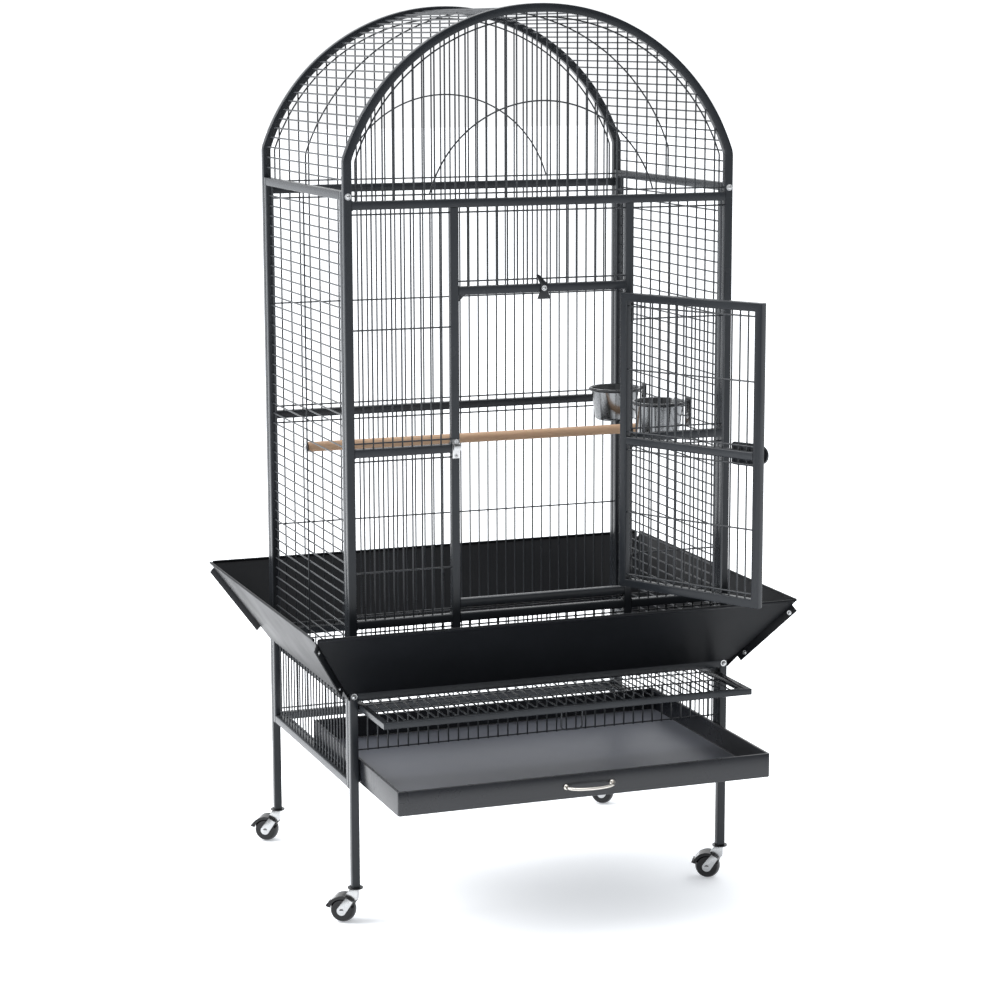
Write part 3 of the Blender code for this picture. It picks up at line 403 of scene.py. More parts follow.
class Nodes:
    """A node tree under construction."""

    def __init__(self, tree: bpy.types.NodeTree) -> None:
        """Work on this tree."""
        self.tree = tree

    def add(self, kind: str, inputs: dict[str, object] | None = None, **settings: object) -> bpy.types.Node:
        """Add a node, set its properties and feed its inputs with values or sockets.

        Args:
            kind: The node's type.
            inputs: Values or output sockets by input name or number.
            **settings: The node's own properties.

        Returns:
            The new node.
        """
        node = self.tree.nodes.new(kind)
        for key, value in settings.items():
            setattr(node, key, value)
        for key, value in (inputs or {}).items():
            socket = node.inputs[key]
            if isinstance(value, bpy.types.NodeSocket):
                self.tree.links.new(value, socket)
            else:
                socket.default_value = value
        return node


def new_group(
    name: str, inputs: dict[str, float], outputs: dict[str, str], fill: Callable[
        [Nodes, bpy.types.Node], dict
    ]
) -> bpy.types.NodeTree:
    """Make a shader node group once.

    Args:
        name: The group's name.
        inputs: Its number inputs with their defaults.
        outputs: Its outputs by name, each with its socket type.
        fill: Builds the inside and returns the socket for each output.

    Returns:
        The group.
    """
    known = bpy.data.node_groups.get(name)
    if known:
        return known
    group = bpy.data.node_groups.new(name, "ShaderNodeTree")
    for key, value in inputs.items():
        socket = group.interface.new_socket(name=key, in_out="INPUT", socket_type="NodeSocketFloat")
        socket.default_value = value
    for key, kind in outputs.items():
        group.interface.new_socket(name=key, in_out="OUTPUT", socket_type=kind)
    nodes = Nodes(group)
    entry = nodes.add("NodeGroupInput")
    made = fill(nodes, entry)
    nodes.add("NodeGroupOutput", made)
    return group


def powder_inside(nodes: Nodes, entry: bpy.types.Node) -> dict:
    """Fine orange peel, soft cloudiness, rubbed edges and a little dust on upward faces."""
    where = nodes.add("ShaderNodeTexCoord").outputs["Object"]
    peel = nodes.add("ShaderNodeTexNoise", {"Vector": where, "Scale": entry.outputs["Grain"], "Detail": 3.0})
    cloud = nodes.add("ShaderNodeTexNoise", {"Vector": where, "Scale": entry.outputs["Cloud"], "Detail": 4.0})
    geometry = nodes.add("ShaderNodeNewGeometry")
    edge = nodes.add(
        "ShaderNodeMapRange",
        {
            "Value": geometry.outputs["Pointiness"],
            "From Min": 0.52,
            "From Max": 0.62,
            "To Min": 0.0,
            "To Max": 1.0,
        },
    )
    worn = nodes.add(
        "ShaderNodeMath", {0: edge.outputs[0], 1: cloud.outputs["Fac"]}, operation="MULTIPLY", use_clamp=True
    )
    rubbed = nodes.add(
        "ShaderNodeMath", {0: worn.outputs[0], 1: entry.outputs["Wear"]}, operation="MULTIPLY", use_clamp=True
    )
    level = nodes.add("ShaderNodeSeparateXYZ", {0: geometry.outputs["Normal"]})
    dusty = nodes.add(
        "ShaderNodeMapRange",
        {"Value": level.outputs["Z"], "From Min": 0.75, "From Max": 1.0, "To Min": 0.0, "To Max": 1.0},
    )
    speck = nodes.add("ShaderNodeTexNoise", {"Vector": where, "Scale": 900.0, "Detail": 2.0})
    dust = nodes.add("ShaderNodeMath", {0: dusty.outputs[0], 1: speck.outputs["Fac"]}, operation="MULTIPLY")
    return {
        "Height": peel.outputs["Fac"],
        "Cloudiness": cloud.outputs["Fac"],
        "Rubbed": rubbed.outputs[0],
        "Dust": dust.outputs[0],
    }


def brushed_inside(nodes: Nodes, entry: bpy.types.Node) -> dict:
    """Fine lines along X and faint smudges, for bare metal."""
    where = nodes.add("ShaderNodeTexCoord").outputs["Object"]
    drawn = nodes.add("ShaderNodeVectorMath", {0: where, 1: (0.05, 1.0, 1.0)}, operation="MULTIPLY")
    lines = nodes.add(
        "ShaderNodeTexNoise", {"Vector": drawn.outputs[0], "Scale": entry.outputs["Lines"], "Detail": 4.0}
    )
    smudge = nodes.add("ShaderNodeTexNoise", {"Vector": where, "Scale": 40.0, "Detail": 3.0})
    return {"Height": lines.outputs["Fac"], "Smudge": smudge.outputs["Fac"]}


def spun_inside(nodes: Nodes, entry: bpy.types.Node) -> dict:
    """Fine level rings and faint smudges, for turned sheet metal."""
    where = nodes.add("ShaderNodeTexCoord").outputs["Object"]
    drawn = nodes.add("ShaderNodeVectorMath", {0: where, 1: (0.02, 0.02, 1.0)}, operation="MULTIPLY")
    lines = nodes.add(
        "ShaderNodeTexNoise", {"Vector": drawn.outputs[0], "Scale": entry.outputs["Lines"], "Detail": 4.0}
    )
    smudge = nodes.add("ShaderNodeTexNoise", {"Vector": where, "Scale": 25.0, "Detail": 3.0})
    return {"Height": lines.outputs["Fac"], "Smudge": smudge.outputs["Fac"]}


def wood_inside(nodes: Nodes, entry: bpy.types.Node) -> dict:
    """Long grain with darker streaks along X."""
    where = nodes.add("ShaderNodeTexCoord").outputs["Object"]
    drawn = nodes.add("ShaderNodeVectorMath", {0: where, 1: (0.06, 1.0, 1.0)}, operation="MULTIPLY")
    grain = nodes.add(
        "ShaderNodeTexNoise", {"Vector": drawn.outputs[0], "Scale": entry.outputs["Grain"], "Detail": 6.0}
    )
    streak = nodes.add("ShaderNodeTexNoise", {"Vector": drawn.outputs[0], "Scale": 90.0, "Detail": 2.0})
    return {"Height": grain.outputs["Fac"], "Streak": streak.outputs["Fac"]}


FLOAT = "NodeSocketFloat"


class Texture(Enum):
    """Which surface detail a finish carries."""

    POWDER = "powder_detail"
    BRUSHED = "brushed_detail"
    SPUN = "spun_detail"
    WOOD = "wood_detail"


def detail_group(texture: Texture) -> bpy.types.NodeTree:
    """The node group of a texture."""
    if texture is Texture.POWDER:
        outputs = {"Height": FLOAT, "Cloudiness": FLOAT, "Rubbed": FLOAT, "Dust": FLOAT}
        return new_group(texture.value, {"Grain": 1400.0, "Cloud": 9.0, "Wear": 0.5}, outputs, powder_inside)
    if texture is Texture.BRUSHED:
        return new_group(texture.value, {"Lines": 900.0}, {"Height": FLOAT, "Smudge": FLOAT}, brushed_inside)
    if texture is Texture.SPUN:
        return new_group(texture.value, {"Lines": 900.0}, {"Height": FLOAT, "Smudge": FLOAT}, spun_inside)
    return new_group(texture.value, {"Grain": 700.0}, {"Height": FLOAT, "Streak": FLOAT}, wood_inside)


@dataclass(frozen=True)
class Finish:
    """A finish: its colours, gloss and surface detail."""

    slot: str
    name: str
    colour: tuple[float, float, float]
    second: tuple[float, float, float]
    texture: Texture = Texture.POWDER
    roughness: float = 0.42
    metallic: float = 0.0
    coat: float = 0.0
    specular: float = 0.5
    bump: float = 0.09
    grain: float = 1400.0
    wear: float = 0.5

    def material(self) -> bpy.types.Material:
        """The Blender material, built the first time it is asked for."""
        known = bpy.data.materials.get(self.name)
        if known:
            return known
        material = bpy.data.materials.new(self.name)
        material.use_nodes = True
        nodes = Nodes(material.node_tree)
        shader = material.node_tree.nodes["Principled BSDF"]
        detail = nodes.add("ShaderNodeGroup", node_tree=detail_group(self.texture))
        metal = self.texture in (Texture.BRUSHED, Texture.SPUN)
        detail.inputs["Lines" if metal else "Grain"].default_value = self.grain
        if self.texture is Texture.POWDER:
            detail.inputs["Wear"].default_value = self.wear
        spread_by = {Texture.POWDER: "Cloudiness", Texture.WOOD: "Streak"}.get(self.texture, "Smudge")
        colour = self.mixed(nodes, detail.outputs[spread_by], self.colour, self.second)
        if self.texture is Texture.POWDER:
            bare = tuple(min(1.0, 2.2 * part + 0.03) for part in self.colour)
            colour = self.mixed(nodes, detail.outputs["Rubbed"], colour, bare)
            pale = tuple(0.6 * part + 0.06 for part in self.colour)
            faint = nodes.add("ShaderNodeMath", {0: detail.outputs["Dust"], 1: 0.5}, operation="MULTIPLY")
            colour = self.mixed(nodes, faint.outputs[0], colour, pale)
        rough = nodes.add(
            "ShaderNodeMapRange",
            {
                "Value": detail.outputs[spread_by],
                "From Min": 0.3,
                "From Max": 0.7,
                "To Min": self.roughness * 0.88,
                "To Max": self.roughness * 1.12,
            },
        )
        bump = nodes.add(
            "ShaderNodeBump", {"Height": detail.outputs["Height"], "Strength": self.bump, "Distance": 0.0002}
        )
        links = material.node_tree.links
        links.new(colour, shader.inputs["Base Color"])
        links.new(rough.outputs[0], shader.inputs["Roughness"])
        links.new(bump.outputs[0], shader.inputs["Normal"])
        shader.inputs["Metallic"].default_value = self.metallic
        shader.inputs["Coat Weight"].default_value = self.coat
        shader.inputs["Coat Roughness"].default_value = 0.2
        shader.inputs["Specular IOR Level"].default_value = self.specular
        return material

    def mixed(
        self,
        nodes: Nodes,
        mask: bpy.types.NodeSocket,
        first: object,
        second: tuple[float, float, float],
    ) -> bpy.types.NodeSocket:
        """A colour that goes from the first to the second by a mask."""
        mix = nodes.add("ShaderNodeMix", data_type="RGBA")
        nodes.tree.links.new(mask, mix.inputs[0])
        if isinstance(first, bpy.types.NodeSocket):
            nodes.tree.links.new(first, mix.inputs[6])
        else:
            mix.inputs[6].default_value = (*first, 1.0)
        mix.inputs[7].default_value = (*second, 1.0)
        return mix.outputs[2]


TUBE_COAT = Finish(
    "dark_coated_steel",
    "tube_coat",
    (0.013, 0.015, 0.018),
    (0.018, 0.021, 0.025),
    roughness=0.25,
    specular=0.24,
)
FITTING_COAT = Finish(
    "dark_coated_steel", "fitting_coat", (0.009, 0.010, 0.012), (
        0.015, 0.017, 0.019
    ), roughness=0.24, specular=0.3, wear=0.9
)
WIRE_COAT = Finish(
    "coated_wire", "wire_coat", (0.016, 0.018, 0.021), (0.025, 0.028, 0.032), roughness=0.30, specular=0.3
)
SHEET_COAT = Finish(
    "coated_sheet", "sheet_coat", (0.0045, 0.005, 0.006), (
        0.008, 0.009, 0.011
    ), roughness=0.40, specular=0.13, wear=0.0
)
TRAY_COAT = Finish(
    "coated_sheet", "tray_coat", (0.008, 0.009, 0.011), (
        0.013, 0.0145, 0.019
    ), roughness=0.27, specular=0.45, wear=0.0
)
# Lit copy of the tray's own paint: painted light from above and painted reflection of the bright surround on
# the tray floor
TRAY_FLOOR_PAINTED_LIGHT = Finish(
    "coated_sheet", "tray_floor_painted_light", (0.085, 0.091, 0.110), (0.115, 0.122, 0.146), roughness=0.33, wear=0.0
)
BRIGHT_ZINC = Finish(
    "zinc_plate", "bright_zinc", (0.42, 0.43, 0.44), (0.56, 0.56, 0.56), Texture.BRUSHED, 0.27, 1.0, bump=0.08
)
STAINLESS = Finish(
    "stainless_steel", "cup_steel", (0.15, 0.155, 0.16), (
        0.23, 0.235, 0.24
    ), Texture.SPUN, 0.17, 1.0, bump=0.05
)
NICKEL = Finish(
    "satin_nickel", "handle_nickel", (0.60, 0.57, 0.52), (
        0.70, 0.67, 0.62
    ), Texture.BRUSHED, 0.28, 1.0, bump=0.08
)
HOOD_PLASTIC = Finish(
    "black_plastic", "caster_plastic", (0.004, 0.004, 0.005), (
        0.008, 0.008, 0.009
    ), roughness=0.12, specular=0.35, grain=2200.0, wear=0.0
)
PERCH_WOOD = Finish(
    "perch_wood", "perch_grain", (0.36, 0.215, 0.125), (
        0.50, 0.33, 0.21
    ), Texture.WOOD, 0.6, bump=0.4, grain=800.0
)


def facing_front(x: float, y: float, z: float) -> Matrix:
    """A place whose own X runs right, own Y runs up and own Z faces -Y."""
    return Matrix.Translation((x, y, z)) @ Matrix.Rotation(math.pi / 2, 4, "X")


def screw_head(shape: Shape, place: Matrix, radius: float = 0.0035, height: float = 0.0022) -> None:
    """Add a domed screw head with a washer; it stands along the place's own Z.

    Args:
        shape: The shape that it joins.
        place: Where the head sits.
        radius: Radius of the head.
        height: Height of the head.
    """
    washer = 0.0006
    shape.turned([(0, 0), (radius * 1.45, 0), (radius * 1.45, washer), (0, washer)], place, 20)
    dome = [(radius * math.cos(a), washer + height * math.sin(a)) for a in (0, 0.35, 0.7, 1.0, 1.25)]
    slot = 0.0009
    top = washer + height
    shape.turned(
        [(0, washer / 2), (radius, washer / 2), *dome, (slot, top), (slot, top * 0.6), (0, top * 0.6)],
        place,
        20,
    )


class WirePanel:
    """Parallel bars welded to cross wires."""

    def __init__(self, name: str, body: Body, plane: Matrix) -> None:
        """Start a panel whose own X runs along the wall, own Y runs up and own Z faces out.

        Args:
            name: Name of the piece.
            body: Body that it rides on.
            plane: Where the panel's plane lies.
        """
        self.name = name
        self.body = body
        self.plane = plane
        self.shape = Shape()

    def bars(
        self, places: Sequence[float], low: float, high: Callable[[float], float] | float
    ) -> "WirePanel":
        """Add upright bars, whose tops may follow a line."""
        for x in places:
            top = high(x) if callable(high) else high
            self.shape.rod(self.plane @ Vector((x, low, 0)), self.plane @ Vector((x, top, 0)), SIZES.wire)
        return self

    def level_bars(self, heights: Sequence[float], span: tuple[float, float]) -> "WirePanel":
        """Add level bars across a span."""
        for z in heights:
            ends = [self.plane @ Vector((x, z, 0)) for x in span]
            self.shape.rod(*ends, SIZES.wire)
        return self

    def cross(self, heights: Sequence[float], span: tuple[float, float], inward: float = 1.0) -> "WirePanel":
        """Add cross wires just behind the bars, or in front of them with a negative inward."""
        depth = -inward * SIZES.wire * 1.8
        for z in heights:
            ends = [self.plane @ Vector((x, z, depth)) for x in span]
            self.shape.rod(*ends, SIZES.wire)
        return self

    def uprights(self, places: Sequence[float], run: tuple[float, float]) -> "WirePanel":
        """Add upright wires just behind level bars."""
        depth = -SIZES.wire * 1.8
        for x in places:
            ends = [self.plane @ Vector((x, z, depth)) for z in run]
            self.shape.rod(*ends, SIZES.wire)
        return self

    def finish(self, *nodes: str) -> bpy.types.Object:
        """Make the panel's piece in place of its plain nodes."""
        piece = self.shape.piece(self.name, WIRE_COAT, self.body.value, 50)
        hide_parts(*nodes)
        return piece


@dataclass
class Portals:
    """The two bent portals with their rails, panels and decorative arcs."""

    gusset: float = 0.018
    gusset_sheet: float = 0.003
    gusset_lap: float = 0.011
    weld_radius: float = 0.0019

    def frame_tubes(
        self,
        y: float,
        rails: Sequence[tuple[float, float, float]],
        posts: Sequence[tuple[float, float, float]],
    ) -> Shape:
        """Add a portal's bent tube, its rails and its inner posts.

        Args:
            y: Middle of the portal's tubes.
            rails: Each rail as its height and two ends.
            posts: Each inner post as its place across and two ends.

        Returns:
            The shape of all the tubes.
        """
        s = SIZES
        half = s.tube / 2
        line = [(x, y, z) for x, z in portal_line(half)]
        legs = [(-s.half_width + half, y, s.leg_foot), *line, (s.half_width - half, y, s.leg_foot)]
        shape = Shape().tube(legs, BACK)
        for z, x0, x1 in rails:
            shape.tube(((x0, y, z), (x1, y, z)), BACK)
            self.welds(shape, y, z, (x0, x1))
        for x, z0, z1 in posts:
            shape.tube(((x, y, z0), (x, y, z1)), BACK)
        return shape

    def welds(self, shape: Shape, y: float, z: float, ends: tuple[float, float]) -> None:
        """Add small weld fillets above and below both ends of a rail."""
        s = SIZES
        reach = s.tube / 2 - self.weld_radius
        for x in ends:
            for face in (s.under(z), s.over(z)):
                shape.rod((x, y - reach, face), (x, y + reach, face), self.weld_radius, 8)

    def build_front(self) -> None:
        """Build the front portal."""
        s = SIZES
        y = -s.half_depth + s.tube / 2
        inner, post = s.inner_x, s.door_post_x
        rails = [(s.top_rail, -inner, inner), (s.base_rail, -inner, inner), (s.floor_rail, -inner, -post)]
        rails += [(s.floor_rail, post, inner), (s.floor_rail, -s.half_doorway, s.half_doorway)]
        rails += [(s.mid_rail, -inner, -post), (s.mid_rail, post, inner)]
        rails += [(s.header, -s.half_doorway, s.half_doorway), (s.sill, -s.half_doorway, s.half_doorway)]
        middle = s.half_doorway + s.tube / 2
        posts = [(side * middle, s.over(s.base_rail), s.under(s.top_rail)) for side in (-1, 1)]
        shape = self.frame_tubes(y, rails, posts)
        corner_x, corner_z = -s.half_doorway, s.under(s.header)
        lap = self.gusset_lap
        outline = [(-lap, -self.gusset), (0, -self.gusset), (self.gusset, 0), (self.gusset, lap), (-lap, lap)]
        behind = -s.half_depth + s.tube + self.gusset_sheet / 2
        shape.plate(outline, self.gusset_sheet, facing_front(corner_x, behind, corner_z))
        piece = shape.moved(HOME).piece("front_portal", TUBE_COAT, Body.CAGE.value)
        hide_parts("front_frame")
        self.front_panels(HOME @ facing_front(0, y, 0))

    def front_panels(self, plane: Matrix) -> None:
        """Build the wire panels of the front portal.

        Args:
            plane: The plane of the bars, facing out.
        """
        s = SIZES
        sides = {"left": (-s.inner_x, -s.door_post_x), "right": (s.door_post_x, s.inner_x)}
        doorway = (-s.half_doorway, s.half_doorway)
        base = (s.over(s.base_rail), s.under(s.floor_rail))
        lower = (s.over(s.floor_rail), s.under(s.mid_rail))
        upper = (s.over(s.mid_rail), s.under(s.top_rail))
        runs = {
            "base": (base, ()), "lower": (lower, (s.lower_stiffener,)), "upper": (upper, (s.upper_stiffener,))
        }
        for side, span in sides.items():
            for part, (run, between) in runs.items():
                self.bay(f"front_{side}_{part}_wires", plane, span, run, s.front_pitch, between)
        self.bay(
            "front_middle_base_wires", plane, doorway, base, s.bar_pitch, (), (s.under(s.sill) - 0.0045,)
        )
        header = (s.over(s.header), s.under(s.top_rail))
        self.bay("header_wires", plane, doorway, header, s.bar_pitch, ())
        low, high = (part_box("curtain_wires")[i][2] for i in (0, 1))
        span = (-s.inner_x, s.inner_x)
        curtain = WirePanel("curtain_panel", Body.CAGE, plane)
        curtain.bars(spread(span, s.bar_pitch), low, high).cross((low + s.wire, high - s.wire), span)
        curtain.finish("curtain_wires")

    def bay(
        self,
        node: str,
        plane: Matrix,
        span: tuple[float, float],
        run: tuple[float, float],
        pitch: float,
        between: Sequence[float],
        extra: Sequence[float] = (),
    ) -> None:
        """Build the panel of one bay.

        Args:
            node: The node that the panel stands for.
            plane: The plane of the bars.
            span: Left and right tube faces.
            run: Lower and upper tube faces.
            pitch: Distance from bar to bar.
            between: Heights of the stiffening wires.
            extra: Heights of cross wires outside the bay.
        """
        cross = (run[0] + SIZES.inset, *between, run[1] - SIZES.inset, *extra)
        panel = WirePanel(node.replace("_wires", "_panel"), Body.CAGE, plane)
        panel.bars(spread(span, pitch), *run).cross(cross, span)
        panel.finish(node)

    def build_rear(self) -> None:
        """Build the rear portal with its panels."""
        s = SIZES
        y = s.half_depth - s.tube / 2
        inner = s.inner_x
        rails = [(z, -inner, inner) for z in (s.top_rail, s.mid_rail, s.rear_base_rail, s.bottom_rail)]
        piece = self.frame_tubes(y, rails, ()).moved(HOME).piece("rear_portal", TUBE_COAT, Body.CAGE.value)
        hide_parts("rear_frame")
        plane = HOME @ Matrix.Translation((0, y, 0)) @ Matrix.Rotation(math.pi, 4, "Z") @ facing_front(
            0, 0, 0
        )
        span = (-inner, inner)
        bays = {
            "rear_base_wires": ((s.over(s.bottom_rail), s.under(s.rear_base_rail)), ()),
            "rear_lower_wires": ((s.over(s.rear_base_rail), s.under(s.mid_rail)), (s.lower_stiffener,)),
            "rear_upper_wires": ((s.over(s.mid_rail), s.under(s.top_rail)), (s.upper_stiffener,)),
        }
        for node, (run, between) in bays.items():
            self.bay(node, plane, span, run, s.bar_pitch, between)

    def build_arch(self, label: str, side: int) -> None:
        """Build the bars under one arch, their perimeter wire and the decorative arc.

        Args:
            label: "front" or "rear".
            side: -1 for the front and 1 for the rear.
        """
        s = SIZES
        y = side * (s.half_depth - s.tube / 2)
        plane = HOME @ facing_front(0, y, 0)
        span = (-s.inner_x, s.inner_x)
        low = s.over(s.top_rail)
        panel = WirePanel(f"{label}_arch_panel", Body.CAGE, plane)
        panel.bars(spread(span, s.bar_pitch), low, lambda x: height_under_arch(x, s.tube))
        panel.cross((low + s.inset,), span, float(-side))
        edge = s.tube + s.inset
        inner_y = y - side * s.wire * 1.8
        hoop = [(x, inner_y, z) for x, z in portal_line(edge)]
        foot = [(hoop[0][0], inner_y, low), *hoop, (hoop[-1][0], inner_y, low)]
        panel.shape.bent_rod([HOME @ Vector(point) for point in foot], s.wire, BACK)
        panel.finish(f"{label}_arch_wires")
        rise = math.asin((low + s.inset - s.arch_centre) / s.decor_radius)
        outer_y = y + side * (s.wire * 2 + s.gap)
        line = [(x, outer_y, z) for x, z in arc((0, s.arch_centre), s.decor_radius, rise, math.pi - rise, 56)]
        decor = Shape().bent_rod([HOME @ Vector(point) for point in line], s.wire, BACK, 12)
        piece = decor.piece(f"{label}_decor", WIRE_COAT, Body.CAGE.value, 50)
        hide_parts(f"{label}_decor_arc")

    def build_roof(self) -> None:
        """Build the bars over the roof and the hoop wire that joins them."""
        s = SIZES
        foot = s.over(s.side_top)
        middle = s.tube / 2
        line = [Vector((x, 0, z)) for x, z in portal_line(middle, 160, 20)]
        line = [Vector((line[0].x, 0, foot)), *line, Vector((line[-1].x, 0, foot))]
        lengths = [0.0]
        for a, b in zip(line, line[1:]):
            lengths.append(lengths[-1] + (b - a).length)
        shape = Shape()
        for distance in spread((0, lengths[-1]), s.bar_pitch):
            i = next(k for k, reach in enumerate(lengths) if reach >= distance)
            share = (distance - lengths[i - 1]) / (lengths[i] - lengths[i - 1])
            at = line[i - 1].lerp(line[i], share)
            shape.rod(at - BACK * s.side_reach, at + BACK * s.side_reach, s.wire)
        inner = [(x, 0, z) for x, z in portal_line(middle + s.wire * 1.8)]
        hoop = [(inner[0][0], 0, foot), *inner, (inner[-1][0], 0, foot)]
        shape.bent_rod(hoop, s.wire, BACK)
        piece = shape.moved(HOME).piece("roof_bars", WIRE_COAT, Body.CAGE.value, 50)
        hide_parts("roof_wires")


@dataclass
class SideWalls:
    """The two side frames with their runners and wires."""

    runner_width: float = 0.012
    runner_sheet: float = 0.002

    def build(self, label: str, side: int) -> None:
        """Build one side wall.

        Args:
            label: "left" or "right".
            side: -1 for the left and 1 for the right.
        """
        s = SIZES
        x = side * (s.half_width - s.tube / 2)
        reach = s.side_reach
        mid = reach - s.tube / 2
        shape = Shape()
        for z in (s.bottom_rail, s.base_rail, s.side_top):
            shape.tube(((x, -mid + s.tube / 2, z), (x, mid - s.tube / 2, z)), RIGHT)
        for y in (-mid, mid):
            shape.tube(((x, y, s.under(s.bottom_rail)), (x, y, s.over(s.side_top))), RIGHT)
        self.runners(shape, side)
        piece = shape.moved(HOME).piece(f"{label}_side_tubes", TUBE_COAT, Body.CAGE.value)
        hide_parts(f"{label}_side_frame")
        turn = Matrix.Rotation(side * math.pi / 2, 4, "Z")
        plane = HOME @ Matrix.Translation((x, 0, 0)) @ turn @ facing_front(0, 0, 0)
        clear = reach - s.tube
        cage_run = (s.over(s.base_rail), s.under(s.side_top))
        cage = WirePanel(f"{label}_cage_panel", Body.CAGE, plane)
        cage.level_bars(spread(cage_run, s.bar_pitch), (-clear, clear))
        cage.uprights((-clear + s.inset, clear - s.inset), cage_run)
        cage.finish(f"{label}_cage_wires")
        centre = WirePanel(
            f"{label}_centre_upright", Body.CAGE, plane @ Matrix.Translation((0, 0, s.wire * 3.6))
        )
        centre.uprights((0.0,), cage_run)
        centre.finish(f"{label}_centre_wire")
        base_run = (s.over(s.bottom_rail), s.under(s.base_rail))
        base = WirePanel(f"{label}_base_panel", Body.CAGE, plane)
        base.bars(spread((-clear, clear), s.bar_pitch), *base_run)
        base.cross((base_run[0] + s.inset, base_run[1] - s.inset), (-clear, clear))
        base.finish(f"{label}_base_wires")

    def runners(self, shape: Shape, side: int) -> None:
        """Add the ledges that carry the tray and the grille."""
        s = SIZES
        tray_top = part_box("tray")[0][2] - s.gap
        grille_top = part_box("grille_wires")[0][2] - 0.0045 - s.gap
        web = s.inner_x + self.runner_sheet
        lip = s.inner_x - self.runner_width
        for top in (tray_top, grille_top):
            xs = sorted((side * lip, side * web))
            shape.block((xs[0], -s.side_reach, top - self.runner_sheet), (xs[1], s.side_reach, top))
        xs = sorted((side * (s.inner_x + s.gap), side * web))
        clear = s.side_reach - s.tube
        shape.block((xs[0], -clear, grille_top - self.runner_sheet), (xs[1], clear, s.under(s.base_rail)))


